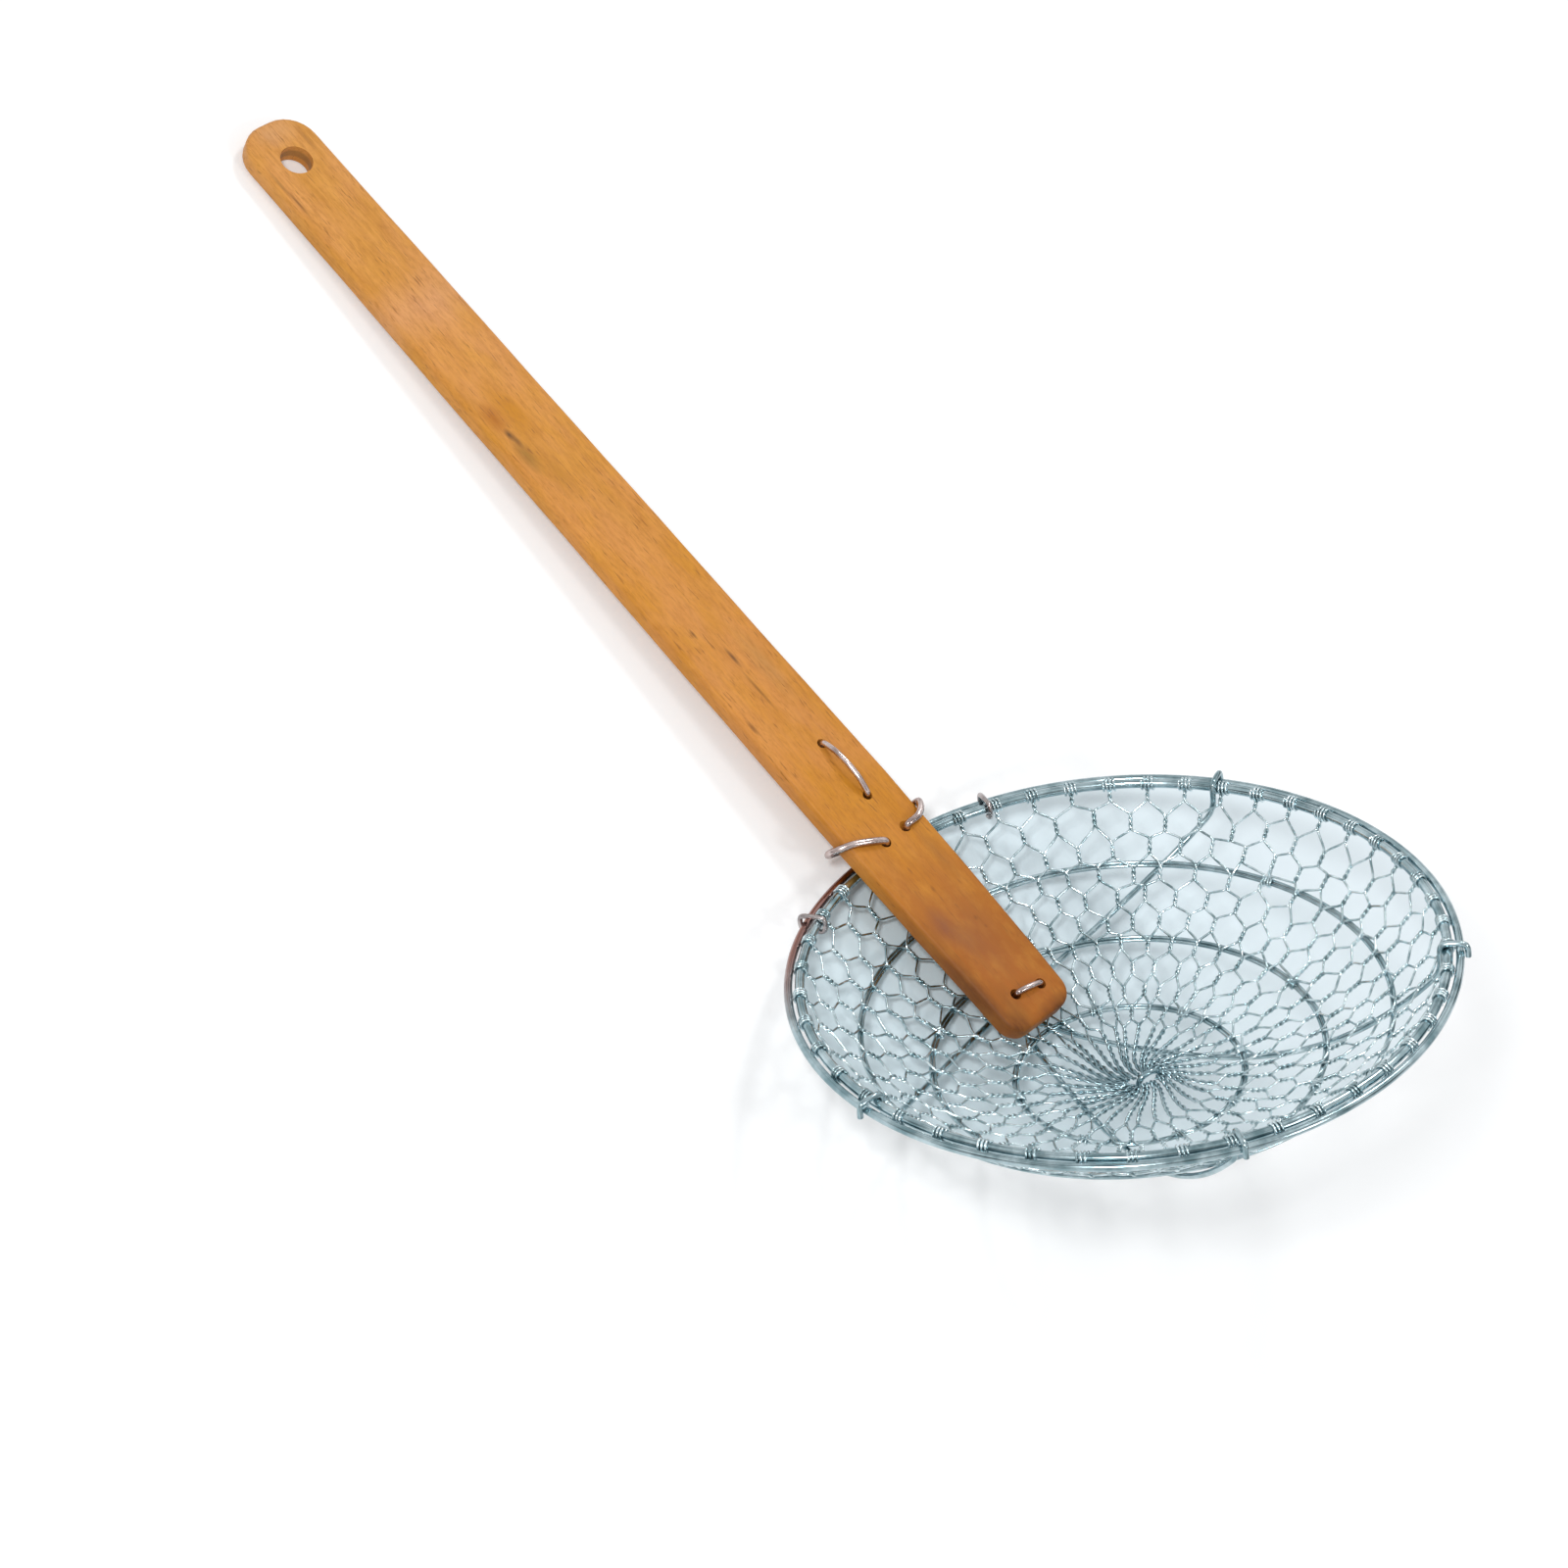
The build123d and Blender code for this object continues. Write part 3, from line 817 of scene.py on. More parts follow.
def column_angle(column):
    """Compass angle of a column: they crowd together on one side, as the hand left them."""
    even = first_column + 2 * pi * column / column_count
    return even + crowding * sin(even - crowding_from)


def wall_length(near, far):
    """Length down the wall between two radii."""
    total = 0
    for step in range(wall_steps):
        a = near + (far - near) * step / wall_steps
        b = near + (far - near) * (step + 1) / wall_steps
        total += sqrt((a - b) ** 2 + (bowl_height(a) - bowl_height(b)) ** 2)
    return total


def radius_down_wall(near, share, length):
    """Radius reached after a share of a length down the wall from a radius."""
    radius = near
    run = 0
    while run < share * length:
        fall = bowl_height(radius) - bowl_height(radius - wall_step)
        run += sqrt(wall_step**2 + fall**2)
        radius -= wall_step
    return radius


def net_rows():
    rows = []
    for near, far, count in rows_between_rings:
        length = wall_length(near, far)
        for row in range(count):
            start = radius_down_wall(near, row / count, length)
            end = radius_down_wall(near, (row + twisted_share) / count, length)
            rows.append((start, end))
    return rows


rows = net_rows()
print("rows of twists:", len(rows), "radii:", [round(start / mm, 1) for start, end in rows])

# %% [markdown]
# Counted inwards, the real net has fewer hexagons at each ring: some pairs of legs end there,
# wound round the ring, and their neighbours close the gap. So the pairs are worked out row by
# row. A twist of three half turns swaps its two strands, so each row joins the facing strands
# of two neighbours, half way between them. A few passes of averaging then spread the pairs
# evenly again where some have ended.

# %% Pair the legs row by row
net_seed = 7
rng = np.random.default_rng(net_seed)
row_waver = 0.6 * mm
side_waver = 0.5 * mm
spoke_start_drop = 3.2 * mm
evening_passes = 3
# the compass angles, in degrees, of the pairs that end after each of these rows
ended_pairs = {2: (100,), 5: (22, 75, 205, 318), 8: (12, 58, 104, 150, 195, 238, 283, 330)}


def evened(angles):
    """Spreads the pairs more evenly: each moves towards the middle of its neighbours."""
    for _ in range(evening_passes):
        before = [angles[-1] - 2 * pi] + angles[:-1]
        after = angles[1:] + [angles[0] + 2 * pi]
        angles = [(low + 2 * at + high) / 4 for low, at, high in zip(before, angles, after)]
    return angles


def paired_stops():
    """For each leg, the twists it takes part in: angle, two radii and its side of the pair."""
    angles = [column_angle(column) for column in range(column_count)]
    pairs = [((column, -1), (column, 1)) for column in range(column_count)]
    stops = {leg: [] for pair in pairs for leg in pair}
    for row in range(len(rows) + 1):
        for angle, pair in zip(angles, pairs):
            spoke_start = rows[-1][1] - spoke_start_drop
            start, end = rows[row] if row < len(rows) else (spoke_start, spoke_start)
            shift = rng.normal(0, row_waver) if row else 0
            turn = rng.normal(0, side_waver) / start if row else 0
            for leg, strand in zip(pair, (-1, 1)):
                stops[leg].append((angle + turn, start + shift, end + shift, strand))
        for degrees in ended_pairs.get(row, ()):
            gaps = [abs(sin((angle - radians(degrees)) / 2)) for angle in angles]
            ending = gaps.index(min(gaps))
            angles.pop(ending)
            pairs.pop(ending)
        nexts = angles[1:] + [angles[0] + 2 * pi]
        angles = [(near + far) / 2 for near, far in zip(angles, nexts)]
        pairs = [(pair[0], after[1]) for pair, after in zip(pairs, pairs[1:] + pairs[:1])]
        angles = evened(angles)
    return stops


stops = paired_stops()
print("legs that end at a ring:", sum(len(taken) <= len(rows) for taken in stops.values()))

# %% [markdown]
# The twists themselves are helices: two strands circle one middle line, half a turn apart.
# The directions round the bowl, up its wall and square to it are worked out at every point, so
# that a twist follows the curved wall. Between two twists a strand leaves its partner in a
# soft S, because a real wire springs a little out of its twist.

# %% Twists and the runs between them
turns_per_twist = 1.5
steps_per_turn = 8
parting_steps = 4
parting_softness = 0.3
strand_gap = net_wire * 0.52
net_bulge = 1.4 * mm
bulge_angle = radians(-64)


def wall_directions(radius, angle):
    """Directions round the bowl, up along its wall, and square to the wall."""
    lean = bowl_lean(radius)
    sideways = Vector((-sin(angle), cos(angle), 0))
    upward = Vector((cos(lean) * cos(angle), cos(lean) * sin(angle), sin(lean)))
    inward = Vector((-sin(lean) * cos(angle), -sin(lean) * sin(angle), cos(lean)))
    return sideways, upward, inward


def on_net(radius, angle):
    """A place on the net, which bulges between the rim and the upper ring on one side."""
    way = (net_rim_radius - radius) / (net_rim_radius - ring_radii["upper"])
    bulge = net_bulge * sin(pi * way) if 0 < way < 1 else 0
    return on_bowl(radius, angle, bulge * max(0, cos(angle - bulge_angle)) ** 2)


def twist_points(stop, first):
    """One strand of a pair, circling the pair's middle line."""
    angle, start, end, strand = stop
    steps = int(turns_per_twist * steps_per_turn)
    points = []
    for step in range(first, steps + 1):
        radius = start + (end - start) * step / steps
        sideways, _, inward = wall_directions(radius, angle)
        phase = 2 * pi * turns_per_twist * step / steps
        turned = sideways * cos(phase) + inward * sin(phase)
        points.append(on_net(radius, angle) + turned * strand * strand_gap)
    return points


def parting_points(stop, following):
    """The soft S of a strand that leaves one pair for the next."""
    points = []
    aside = remainder(following[0] - stop[0], 2 * pi)
    for step in range(1, parting_steps):
        share = step / parting_steps
        bent = share**2 * (3 - 2 * share)
        soft = (1 - parting_softness) * share + parting_softness * bent
        angle = stop[0] + aside * soft
        radius = stop[2] + (following[1] - stop[2]) * share
        sideways = wall_directions(radius, angle)[0]
        offset = stop[3] * (2 * soft - 1)
        points.append(on_net(radius, angle) + sideways * offset * strand_gap)
    return points


print("strands in a pair are", round(2 * strand_gap / mm, 2), "mm apart")

# %% [markdown]
# A leg ends in one of two ways. Some are wound round a support ring, close to the knot of
# their last twist. The rest run on as twisted spokes to the middle, where they all swirl the
# same way and crowd towards a short line, because the hand that gathered them pulled them
# across. Some spokes lie a little higher than others, so that they pass over each other.

# %% Ends at a ring and spokes to the middle
wrap_steps = 16
wrap_steps_per_turn = 12
wrap_start = radians(60)
wrap_pitch = 1.1 * net_wire
wrap_gap = 0.1 * mm
spoke_steps = 26
spoke_turns = 4
spoke_inner = 2.6 * mm
spoke_level = 0.8 * mm
level_shuffle = 40
look_ahead = 0.1 * mm
swirl = radians(55)
hub_shift = Vector((4.6, 1.6, 0)) * mm
hub_angle = radians(60)
hub_lay = Vector((cos(hub_angle), sin(hub_angle), 0))
hub_half = 3.2 * mm
hub_crowding = 1.6


def ring_end_points(stop, radius):
    """A turn and a third round a support ring, where a leg ends."""
    angle, strand = stop[0], -stop[3]
    sideways, upward, inward = wall_directions(radius, angle)
    middle = on_bowl(radius, angle, ring_drop)
    along_wall = support_wire + (ring_gap + net_wire) / 2 + wrap_gap
    off_wall = (support_wire + net_wire) / 2 + wrap_gap
    points = []
    for step in range(wrap_steps + 1):
        turns = step / wrap_steps_per_turn
        phase = wrap_start + 2 * pi * turns
        aside = sideways * strand * (strand_gap + wrap_pitch * turns)
        round_ring = upward * along_wall * cos(phase) + inward * off_wall * sin(phase)
        points.append(middle + aside + round_ring)
    return points


def spoke_point(angle, radius, level):
    """A point of a spoke as it swirls towards its end of the gathered middle."""
    near = max(0.0, 1 - radius / rows[-1][1])
    place = on_bowl(radius, angle + swirl * near**3)
    bearing = Vector((cos(angle), sin(angle), 0)).dot(hub_lay)
    shift = hub_shift + hub_lay * hub_half * max(-1.0, min(1.0, hub_crowding * bearing))
    return place + shift * near**2 + Vector((0, 0, level * near**2))


def spoke_points(stop):
    """One strand of a twisted spoke, low, level or high where it meets the others."""
    angle, begin, _, strand = stop
    level = (int(angle * level_shuffle) % 3 - 1) * spoke_level
    points = []
    for step in range(spoke_steps + 1):
        share = step / spoke_steps
        radius = begin + (spoke_inner - begin) * share
        middle = spoke_point(angle, radius, level)
        ahead = (spoke_point(angle, radius - look_ahead, level) - middle).normalized()
        across = ahead.cross(Vector((0, 0, 1))).normalized()
        phase = 2 * pi * spoke_turns * share
        turned = across * -cos(phase) + across.cross(ahead) * sin(phase)
        points.append(middle + turned * strand * strand_gap)
    return points


print("spokes reach within", round(spoke_inner / mm, 1), "mm of the hub's line")

# %% [markdown]
# A loop is one long wire: up one leg, three and a half turns round the rim, and down the other
# leg. Each is a route of points. Every second loop goes into one piece and the rest into
# another, which keeps both meshes light enough to export whole.

# %% The net's looped wires
rim_turns = 3.5
rim_steps_per_turn = 12
rim_pitch = 1.45 * net_wire
rim_end_angle = radians(-60)
twist_steps_in_winding = 2


def leg_route(column, side):
    """One leg of a column's loop, from the rim to a support ring or to the middle."""
    taken = stops[column, side]
    points = []
    for row, stop in enumerate(taken[:len(rows)]):
        points += twist_points(stop, 0 if row else twist_steps_in_winding)
        if row + 1 < len(taken):
            points += parting_points(stop, taken[row + 1])
    if len(taken) > len(rows):
        return points + spoke_points(taken[-1])
    ring_radius = list(ring_radii.values())[len(taken) // rows_per_ring - 1]
    return points + ring_end_points(taken[-1], ring_radius)


def rim_winding(column):
    """Turns of the loop round the rim, from its left leg to its right one."""
    steps = int(rim_turns * rim_steps_per_turn)
    reach = net_rim_wire / 2 + net_wire / 2
    angle = column_angle(column)
    points = []
    for step in range(steps + 1):
        share = step / steps
        phase = rim_end_angle - 2 * pi * rim_turns * share
        sideways = (share - 0.5) * rim_turns * rim_pitch
        out = net_rim_radius + reach * cos(phase)
        turned = angle + sideways / net_rim_radius
        points.append(Vector((out * cos(turned), out * sin(turned), reach * sin(phase))))
    return points


def loop_route(column):
    return leg_route(column, -1)[::-1] + rim_winding(column) + leg_route(column, 1)


for half, name in enumerate(("even_net_loops", "odd_net_loops")):
    loops = [loop_route(column) for column in range(half, column_count, 2)]
    net = wires(loops, net_wire, roundness=1, smooth=0)
    net.data.transform(basket_place)
    replaced = ["hex_net"] if half == 0 else []
    finish_piece(net, name, net_steel, replaced, smooth_deg=180)

# %% [markdown]
# In the middle, all those ends are gathered under one thick strand, which is pulled across
# and tucked down. It is a short wire with both its ends bent under the net.

# %% The strand over the net's middle
middle_wire = 2.0 * mm
middle_half = 4.2 * mm
middle_lay = radians(74)
middle_offset = Vector((0.2, 1.5, 0)) * mm
# share of the half length from the middle, and height over the bowl in mm
middle_bends = ((-1.0, -2.2), (-0.85, 0.6), (-0.35, 1.9), (0.35, 2.0), (0.85, 0.9), (1.1, -2.0))


def middle_route():
    centre = on_bowl(0, 0) + hub_shift + middle_offset
    lay = Vector((cos(middle_lay), sin(middle_lay), 0))
    rise = Vector((0, 0, 1))
    return [centre + lay * middle_half * out + rise * height * mm for out, height in middle_bends]


strand = wires([middle_route()], middle_wire, roundness=3, smooth=6)
strand.data.transform(basket_place)
finish_piece(strand, "middle_strand", net_steel, [])

# %% [markdown]
# Two heavier wires carry the net from below. Each comes up inside the rim, hooks over both
# rim wires and ends in a short tail. A hook's outline is four corners round the two rims, and
# easing the corners bends it as pliers would. Under the net, a rib follows an arc seen from
# above, dropped on to the bowl and held clear of the support rings.

# %% Hooks and runs of the ribs
rib_wire = 1.9 * mm
rib_clearance = 0.45 * mm
rib_drop = solid_net_half + support_wire + rib_wire / 2 + rib_clearance
hook_gap = 0.12 * mm
hook_corner = 1.3 * mm
hook_tail = 1.5 * mm
hook_run = 4.35 * mm
rib_steps = 30


def rim_crossing(angle, offset, inner_low, outer_low):
    inner = net_rim_radius - net_rim_wire / 2 - offset
    outer_edge = outer_rim_radius + outer_rim_wire / 2 + offset
    top = net_rim_wire / 2 + offset
    outline = ((inner, inner_low), (inner, top), (outer_edge, top), (outer_edge, outer_low))
    return [Vector((r * cos(angle), r * sin(angle), z)) for r, z in outline]


def rib_hook(angle):
    offset = rib_wire / 2 + hook_gap
    inner_low = bowl_height(net_rim_radius - hook_run)
    over = rim_crossing(angle, offset, inner_low, -hook_tail - outer_rim_drop)
    return eased(over[::-1], hook_corner)[:-1]


def arc_through(start, middle, end):
    """Points of a plan arc through three places."""
    (ax, ay), (bx, by), (cx, cy) = start, middle, end
    a, b, c = ax**2 + ay**2, bx**2 + by**2, cx**2 + cy**2
    scale = 2 * (ax * (by - cy) + bx * (cy - ay) + cx * (ay - by))
    ux = (a * (by - cy) + b * (cy - ay) + c * (ay - by)) / scale
    uy = (a * (cx - bx) + b * (ax - cx) + c * (bx - ax)) / scale
    radius = sqrt((ax - ux) ** 2 + (ay - uy) ** 2)
    first, half, last = (atan2(p[1] - uy, p[0] - ux) for p in (start, middle, end))
    sweep = (last - first) % (2 * pi)
    if (half - first) % (2 * pi) > sweep:
        sweep -= 2 * pi
    turns = [first + sweep * step / rib_steps for step in range(rib_steps + 1)]
    return [(ux + radius * cos(turn), uy + radius * sin(turn)) for turn in turns]


def rib_foot(angle):
    radius = net_rim_radius - hook_run
    return (radius * cos(angle), radius * sin(angle))


def rib_run(start, middle, end):
    return [under_net(x, y, rib_drop) for x, y in arc_through(start, middle, end)]


print("ribs lie", round(rib_drop / mm, 2), "mm under the net's middle line")

# %% [markdown]
# The cross rib runs from rim to rim and passes under the handle's tip, where the tip staple
# holds it. One arc through its two feet and that place gives its run.

# %% Cross rib
cross_rib_angles = (radians(112.1), radians(-97.0))
cross_rib_x = 50.015 * mm
cross_rib_y = 1.75 * mm
cross_start, cross_end = (rib_foot(angle) for angle in cross_rib_angles)
cross_route = rib_hook(cross_rib_angles[0])
cross_route += rib_run(cross_start, (-cross_rib_x, cross_rib_y), cross_end)
cross_route += rib_hook(cross_rib_angles[1])[::-1]
cross_rib = wires([cross_route], rib_wire, roundness=3, smooth=4)
cross_rib.data.transform(basket_place)
finish_piece(cross_rib, "cross_rib_wire", basket_steel, ["cross_rib"])

# %% [markdown]
# The wishbone rib is one wire folded back on itself. Its two arms spread from the fold to the
# far rim, and the narrow fold dips under the cross rib, which keeps it from lifting. The arms
# are mirror images but for their hooks, so one function makes either.

# %% Wishbone rib
wishbone_angles = (radians(37.6), radians(-30.2))
wishbone_spread = 19.0 * mm
wishbone_dip_run = 6.5 * mm
wishbone_gap = 0.15 * mm
wishbone_fold_x = 54.015 * mm
wishbone_fold_width = 3.8 * mm
wishbone_fold_y = 1.7 * mm
wishbone_nose = 1.3 * mm


def wishbone_arm(angle, side):
    fold_y = wishbone_fold_y + side * wishbone_fold_width / 2
    fold = (-cross_rib_x + wishbone_dip_run, fold_y)
    arm = rib_hook(angle) + rib_run(rib_foot(angle), (0, side * wishbone_spread), fold)
    low = rib_drop + rib_wire + wishbone_gap
    nose_y = wishbone_fold_y + side * (wishbone_fold_width / 2 - wishbone_nose)
    arm.append(under_net(-cross_rib_x, fold_y, low))
    arm.append(under_net(-wishbone_fold_x, fold_y, low))
    arm.append(under_net(-wishbone_fold_x - wishbone_nose, nose_y, low))
    return arm


wishbone_route = wishbone_arm(wishbone_angles[0], 1) + wishbone_arm(wishbone_angles[1], -1)[::-1]
wishbone = wires([wishbone_route], rib_wire, roundness=3, smooth=4)
wishbone.data.transform(basket_place)
finish_piece(wishbone, "wishbone_rib_wire", basket_steel, ["wishbone_rib"])

# %% [markdown]
# Two short clips beside the handle hold the rims together. Each goes over both rim wires and
# closes below them, with its ends left a little apart, so the hook's outline serves again.

# %% Rim clips
clip_wire = 1.6 * mm
clip_angles = (radians(156.0), radians(-156.0))
clip_end_share = 0.3
clip_corner = 1.0 * mm
clip_routes = []
for angle in clip_angles:
    offset = clip_wire / 2 + hook_gap
    low = -net_rim_wire / 2 - outer_rim_drop - offset
    over = rim_crossing(angle, offset, low, low)
    inner_end = over[0] + (over[-1] - over[0]) * clip_end_share
    outer_end = over[-1] + (over[0] - over[-1]) * clip_end_share
    clip_routes.append(eased([inner_end] + over + [outer_end], clip_corner))
clips = wires(clip_routes, clip_wire, roundness=3, smooth=5)
clips.data.transform(basket_place)
finish_piece(clips, "rim_clip_pair", clip_steel, ["rim_clips"])

# %% [markdown]
# The two ties hold the handle to the rims. Each comes out of its hole, goes over the handle's
# edge, turns under both rims and comes up into the same hole. They are bent by hand and so
# are unlike each other, which is why each has its own list of bends, measured from its hole
# and from the handle's edge. The height under the rims is worked out from their wires.

# %% Rim ties
tie_wire = 2.4 * mm
tie_corner = 0.9 * mm
seat = 0.05 * mm
rim_crossing_at = 71.5 * mm
rise = tilt + atan2(face_dir.x, face_dir.z)
half_at_rim = half_width(rim_crossing_at)
rim_bow = (net_rim_radius - sqrt(net_rim_radius**2 - half_at_rim**2)) * sin(rise)


def tie_base():
    """Height under the handle's top at which a tie passes below both rims."""
    rims = 2 * solid_net_half + net_rim_wire + outer_rim_wire + rim_bow
    return -handle_thickness - rims - tie_wire / 2 - seat


def left_tie_route():
    top = tie_wire / 2 + seat
    half = half_width(tie_hole_at)
    below = tie_base()
    hole_at, hole_across = left_tie_top
    over = [
        (hole_at, hole_across, top),
        (hole_at + 2.5 * mm, hole_across - 5.4 * mm, top + 0.35 * mm),
        (hole_at + 4.8 * mm, -half + 1.5 * mm, top),
        (hole_at + 6.2 * mm, -half - 2.1 * mm, top - 1.7 * mm),
        (hole_at + 7.7 * mm, -half - 4.5 * mm, -handle_thickness / 2),
        (hole_at + 8.2 * mm, -half - 3.0 * mm, -handle_thickness - 0.2 * mm),
        (hole_at + 7.6 * mm, -half + 4.0 * mm, -handle_thickness - 2.4 * mm),
        (hole_at + 5.0 * mm, -half + 9.0 * mm, below),
        (hole_at + 1.0 * mm, -half + 10.0 * mm, below),
    ]
    under = [
        (hole_at - 2.6 * mm, left_tie_across - 1.6 * mm, below),
        (tie_hole_at, left_tie_across, below),
    ]
    return [on_handle(*place) for place in under + over]


def right_tie_route():
    top = tie_wire / 2 + seat
    half = half_width(tie_hole_at)
    below = tie_base()
    hole_at, hole_across = right_tie_top
    over = [
        (hole_at, hole_across, top),
        (hole_at - 0.2 * mm, hole_across + 4.6 * mm, top + 0.9 * mm),
        (hole_at + 1.5 * mm, half - 1.0 * mm, top + 0.6 * mm),
        (hole_at + 4.4 * mm, half + 1.4 * mm, top - 0.6 * mm),
        (hole_at + 5.6 * mm, half + 1.6 * mm, -handle_thickness),
        (hole_at + 4.0 * mm, half - 2.0 * mm, below),
        (hole_at + 0.6 * mm, half - 5.0 * mm, below),
    ]
    under = [
        (hole_at - 2.6 * mm, right_tie_across + 1.6 * mm, below),
        (tie_hole_at, right_tie_across, below),
    ]
    return [on_handle(*place) for place in under + over]


for label, route in (("left", left_tie_route()), ("right", right_tie_route())):
    tie = wires([eased(route, tie_corner)], tie_wire, roundness=4, smooth=6)
    finish_piece(tie, f"{label}_tie_wire", lashing_steel, [f"{label}_rim_tie"])

# %% [markdown]
# The staples are short wires pushed through two holes. The long one bows over the handle's
# face, and its ends are clenched towards each other underneath. The short one at the tip
# reaches down past the cross rib, and its feet are turned back under it to carry it.

# %% Staples
staple_wire = 1.9 * mm
staple_corner = 0.8 * mm
crown_shoulder = 0.25
shoulder_rise = 0.8
long_staple_bow = 2.4 * mm
long_staple_clench = 6.0 * mm
tip_staple_bow = 1.0 * mm
tip_staple_reach = 15.3 * mm


def staple_crown(first, second, bow):
    lift = face_dir * bow
    low = first + (second - first) * crown_shoulder + lift * shoulder_rise
    high = first + (second - first) * (1 - crown_shoulder) + lift * shoulder_rise
    return [first, low, (first + second) / 2 + lift, high, second]


def long_staple_route():
    top = staple_wire / 2 + seat
    below = -handle_thickness - staple_wire / 2 - seat
    shoulders = [on_handle(at, long_staple_across, top) for at in long_staple_at]
    feet = [on_handle(at, long_staple_across, below) for at in long_staple_at]
    clench = (feet[1] - feet[0]).normalized() * long_staple_clench
    crown = staple_crown(*shoulders, long_staple_bow)
    return eased([feet[0] + clench, feet[0]] + crown + [feet[1], feet[1] - clench], staple_corner)


def tip_staple_route():
    top = staple_wire / 2 + seat
    rib = basket_place @ under_net(-cross_rib_x, cross_rib_y, rib_drop)
    under_rib = rib_wire / 2 + staple_wire / 2 + hook_gap
    below = -(on_handle(0, 0) - rib).dot(face_dir) - under_rib
    shoulders = [on_handle(at, across, top) for at, across in tip_staple_holes]
    feet = [on_handle(at, across, below) for at, across in tip_staple_holes]
    toes = [on_handle(tip_staple_reach, across, below) for at, across in tip_staple_holes]
    crown = staple_crown(*shoulders, tip_staple_bow)
    return eased([toes[0], feet[0]] + crown + [feet[1], toes[1]], staple_corner)


for node, route in (("long_staple", long_staple_route()), ("tip_staple", tip_staple_route())):
    staple = wires([route], staple_wire, roundness=4, smooth=6)
    finish_piece(staple, f"{node}_wire", lashing_steel, [node])

# %% [markdown]
# The floor is pale and catches a soft shadow. It glows a little, but only for the camera and
# for reflections, so that it looks white without throwing light on the skimmer.

# %% Floor
floor_size = 12
floor_colour = (0.86, 0.87, 0.88, 1)
floor_glow = 0.16


def floor_material():
    shader = Shader("studio_floor")
    shader.dull()
    shader.surface.inputs["Base Color"].default_value = floor_colour
    shader.surface.inputs["Emission Color"].default_value = (1, 1, 1, 1)
    rays = shader.add("ShaderNodeLightPath").outputs
    seen = shader.maths("MAXIMUM", rays["Is Camera Ray"], rays["Is Glossy Ray"])
    glow = shader.maths("MULTIPLY", seen, floor_glow)
    shader.join(glow, shader.surface.inputs["Emission Strength"])
    return shader.material


clear_selection()
bpy.ops.mesh.primitive_plane_add(size=floor_size, location=(0, 0, 0))
floor = bpy.context.object
floor.name = "studio_floor"
floor.data.materials.append(floor_material())
floor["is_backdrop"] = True
print("floor side in metres:", floor_size)

# %% [markdown]
# Behind the net the photograph is a pale blue-grey, which makes the fine wires easy to see. A
# card of that colour lies on the floor just where the camera sees it through the basket. Its
# outline is the net's rim carried along the lines of sight down to the floor, so it fits the
# basket from this one viewpoint. A ramp lets it grow paler towards the far side.

# %% Pale card: backdrop colour and painted shadow
card_sides = 96
card_lift = 0.1 * mm
card_fade = 5.0
card_middle = 0.5


# The card's blue-grey is the backdrop's colour and also a painted shadow under the basket, darker
# on the side nearer the camera.
def card_material(place):
    shader = Shader("card")
    shader.dull()
    spread = shader.parts(shader.placed(place, (1, 1, 1)))[1]
    colour = shader.ramp(
        shader.maths("MULTIPLY_ADD", spread, card_fade, card_middle),
        (0.0, (0.70, 0.82, 0.87)),
        (1.0, (0.81, 0.90, 0.95)),
    )
    shader.join(colour, shader.surface.inputs["Base Color"])
    return shader.material


def seen_on_floor(point):
    """Where a point is seen against the floor."""
    sight = point - camera.location
    return camera.location - sight * (camera.location.z / sight.z)


# Painted shadow: the card lies where the basket's shade would fall, seen through the net.
clear_selection()
bpy.ops.mesh.primitive_circle_add(vertices=card_sides, radius=net_rim_radius, fill_type="NGON")
card = bpy.context.object
card.name = "backdrop_and_shadow_card"
card_place = Matrix.Translation(seen_on_floor(basket_place.to_translation()))
for vertex in card.data.vertices:
    place = seen_on_floor(basket_place @ vertex.co)
    vertex.co = (place.x, place.y, card_lift)
card.data.materials.append(card_material(card_place))
card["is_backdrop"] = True
print("card middle:", [round(x, 3) for x in card_place.to_translation()])

# %% [markdown]
# Round wires mirror everything about them, so an even white world would make them look flat.
# Here the world is white where the camera looks past the skimmer, and a pattern of bright and
# dark patches in reflections, which gives the wires their broken bright lines. What lights
# the bamboo is an even half strength. A Light Path node tells the three apart.

# %% White to the eye, uneven to the metal
patch_scale = 2.2
patch_detail = 1.0
patch_range = {"From Min": 0.38, "From Max": 0.54, "To Min": 0.15, "To Max": 1.0}
even_light = 0.5
seen_white = 1.0


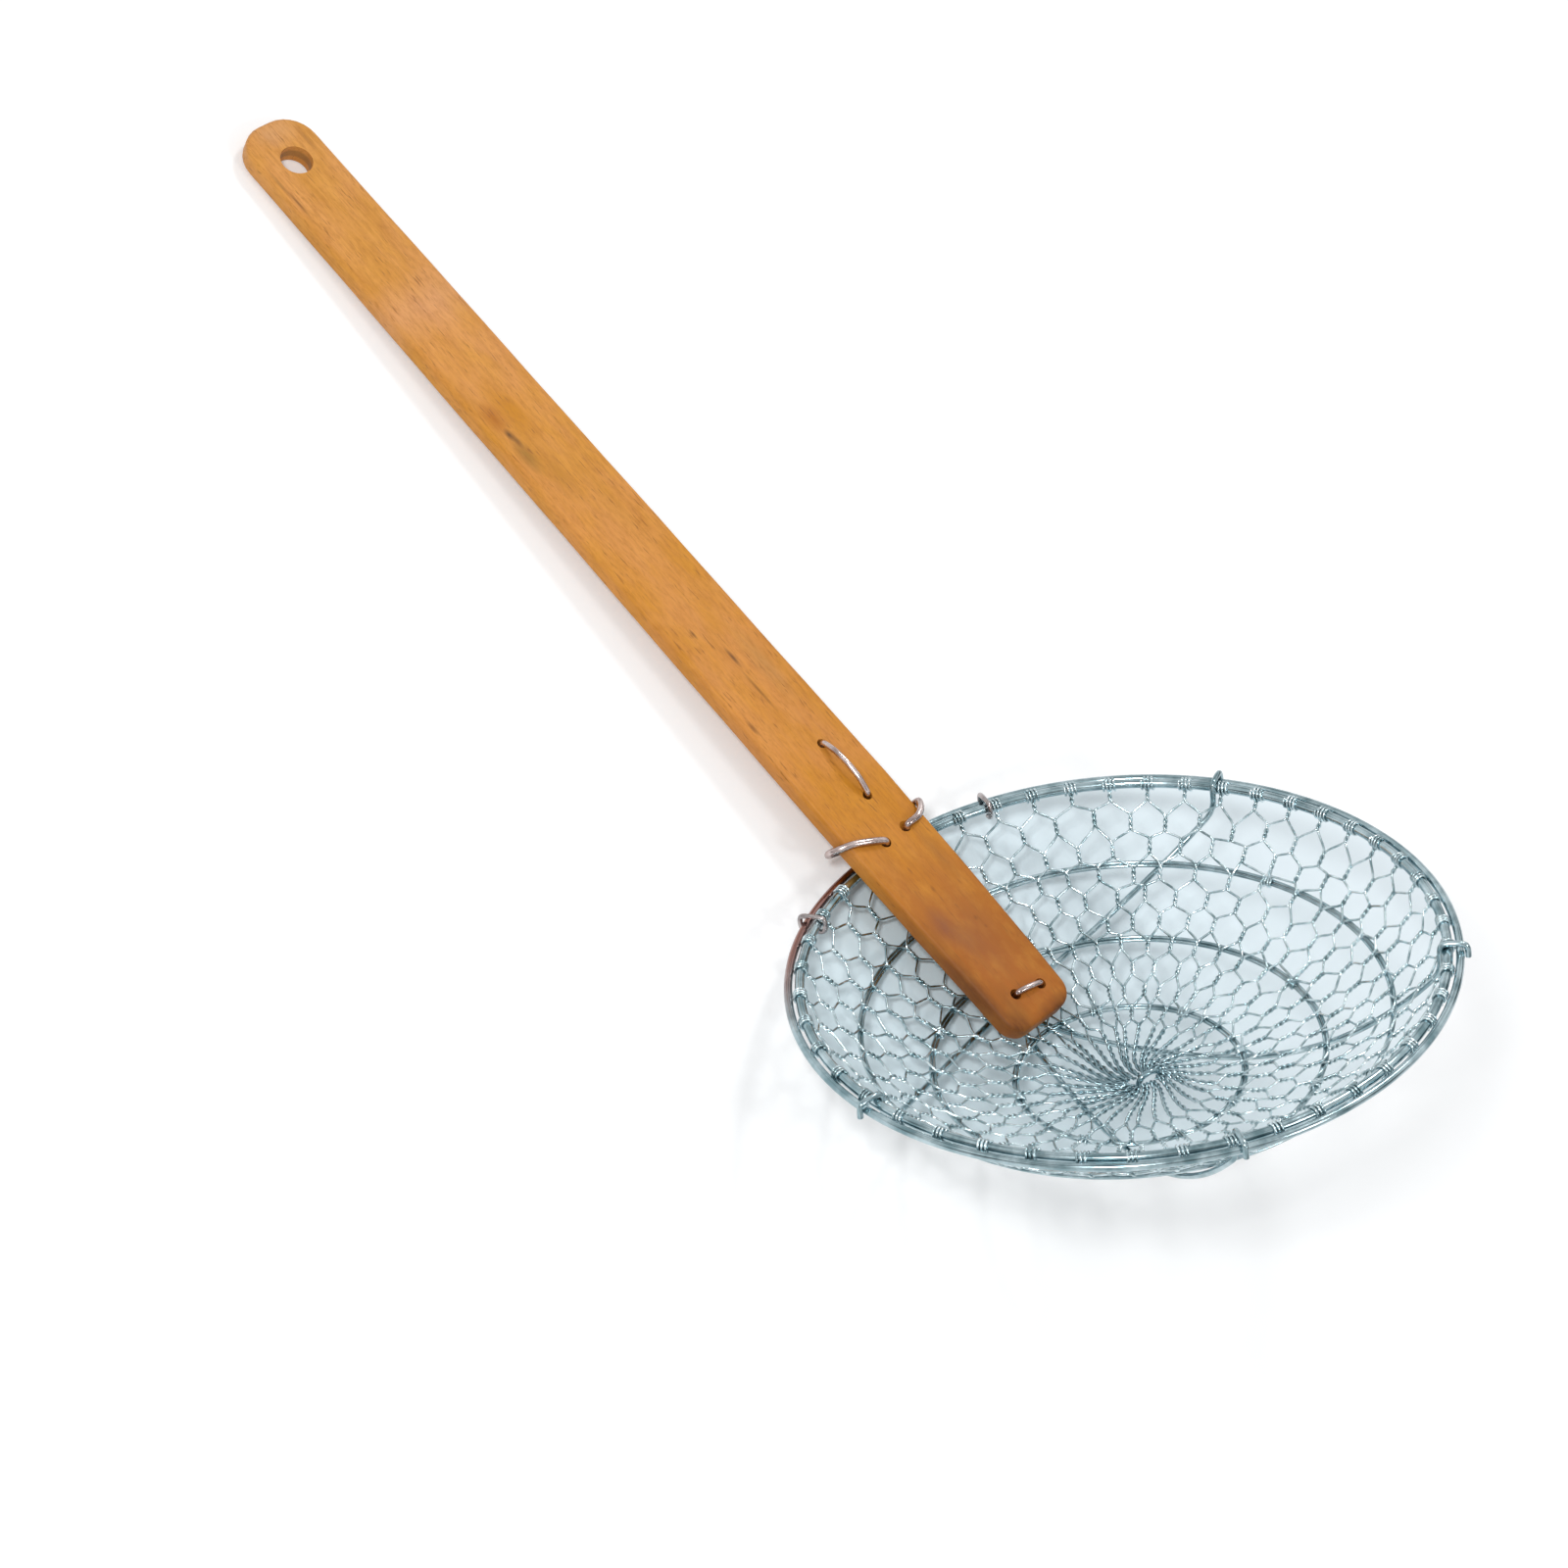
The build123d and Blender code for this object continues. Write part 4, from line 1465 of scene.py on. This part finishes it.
def studio_world():
    """A Mix node's sockets 0, 2 and 3 are its share and its two plain values."""
    world = bpy.data.worlds.new("studio")
    world.use_nodes = True
    tree = world.node_tree
    background = tree.nodes["Background"]
    direction = tree.nodes.new("ShaderNodeTexCoord")
    patches = tree.nodes.new("ShaderNodeTexNoise")
    patches.inputs["Scale"].default_value = patch_scale
    patches.inputs["Detail"].default_value = patch_detail
    tree.links.new(direction.outputs["Generated"], patches.inputs["Vector"])
    bright = tree.nodes.new("ShaderNodeMapRange")
    for name, value in patch_range.items():
        bright.inputs[name].default_value = value
    tree.links.new(patches.outputs["Fac"], bright.inputs["Value"])
    path = tree.nodes.new("ShaderNodeLightPath")
    mirrored = tree.nodes.new("ShaderNodeMix")
    mirrored.inputs[2].default_value = even_light
    tree.links.new(path.outputs["Is Glossy Ray"], mirrored.inputs[0])
    tree.links.new(bright.outputs["Result"], mirrored.inputs[3])
    seen = tree.nodes.new("ShaderNodeMix")
    seen.inputs[3].default_value = seen_white
    tree.links.new(path.outputs["Is Camera Ray"], seen.inputs[0])
    tree.links.new(mirrored.outputs[0], seen.inputs[2])
    tree.links.new(seen.outputs[0], background.inputs["Strength"])
    background.inputs["Color"].default_value = (1, 1, 1, 1)
    return world


bpy.context.scene.world = studio_world()
print("world nodes:", len(bpy.context.scene.world.node_tree.nodes))

# %% [markdown]
# Three small area lamps do the rest. The key stands on the camera's side and high, and casts
# the soft shadow to the far side. The fill, beyond the basket, and the edge lamp behind the
# handle are weaker, and put a second bright line on the wires.

# %% Lamps
# name, place in metres, side in metres and power in watts
lamps = (
    ("key_lamp", (0.0, -0.95, 1.35), 0.24, 11),
    ("fill_lamp", (1.2, 0.1, 1.2), 0.24, 4),
    ("edge_lamp", (-0.45, 0.8, 1.1), 0.2, 4),
)


def soft_lamp(name, place, size, power):
    data = bpy.data.lights.new(name, "AREA")
    data.size = size
    data.energy = power
    lamp = bpy.data.objects.new(name, data)
    lamp.location = place
    lamp.rotation_mode = "QUATERNION"
    lamp.rotation_quaternion = (Vector(place) - aim).to_track_quat("Z", "Y")
    bpy.context.scene.collection.objects.link(lamp)


for lamp in lamps:
    soft_lamp(*lamp)
print("lamps:", [name for name, *rest in lamps])

# %% [markdown]
# The Standard view shows each colour as it was written, which is what a comparison with a
# photograph needs. Last, the box of the dressed skimmer is measured again and set beside the
# measured model's, because dressing must not change its size.

# %% View settings and last checks
bpy.context.scene.view_settings.view_transform = "Standard"
dressed_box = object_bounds()
changes = [b - a for low, high in zip(cad_box, dressed_box) for a, b in zip(low, high)]
print("size change, mm:", [round(change / mm, 2) for change in changes])
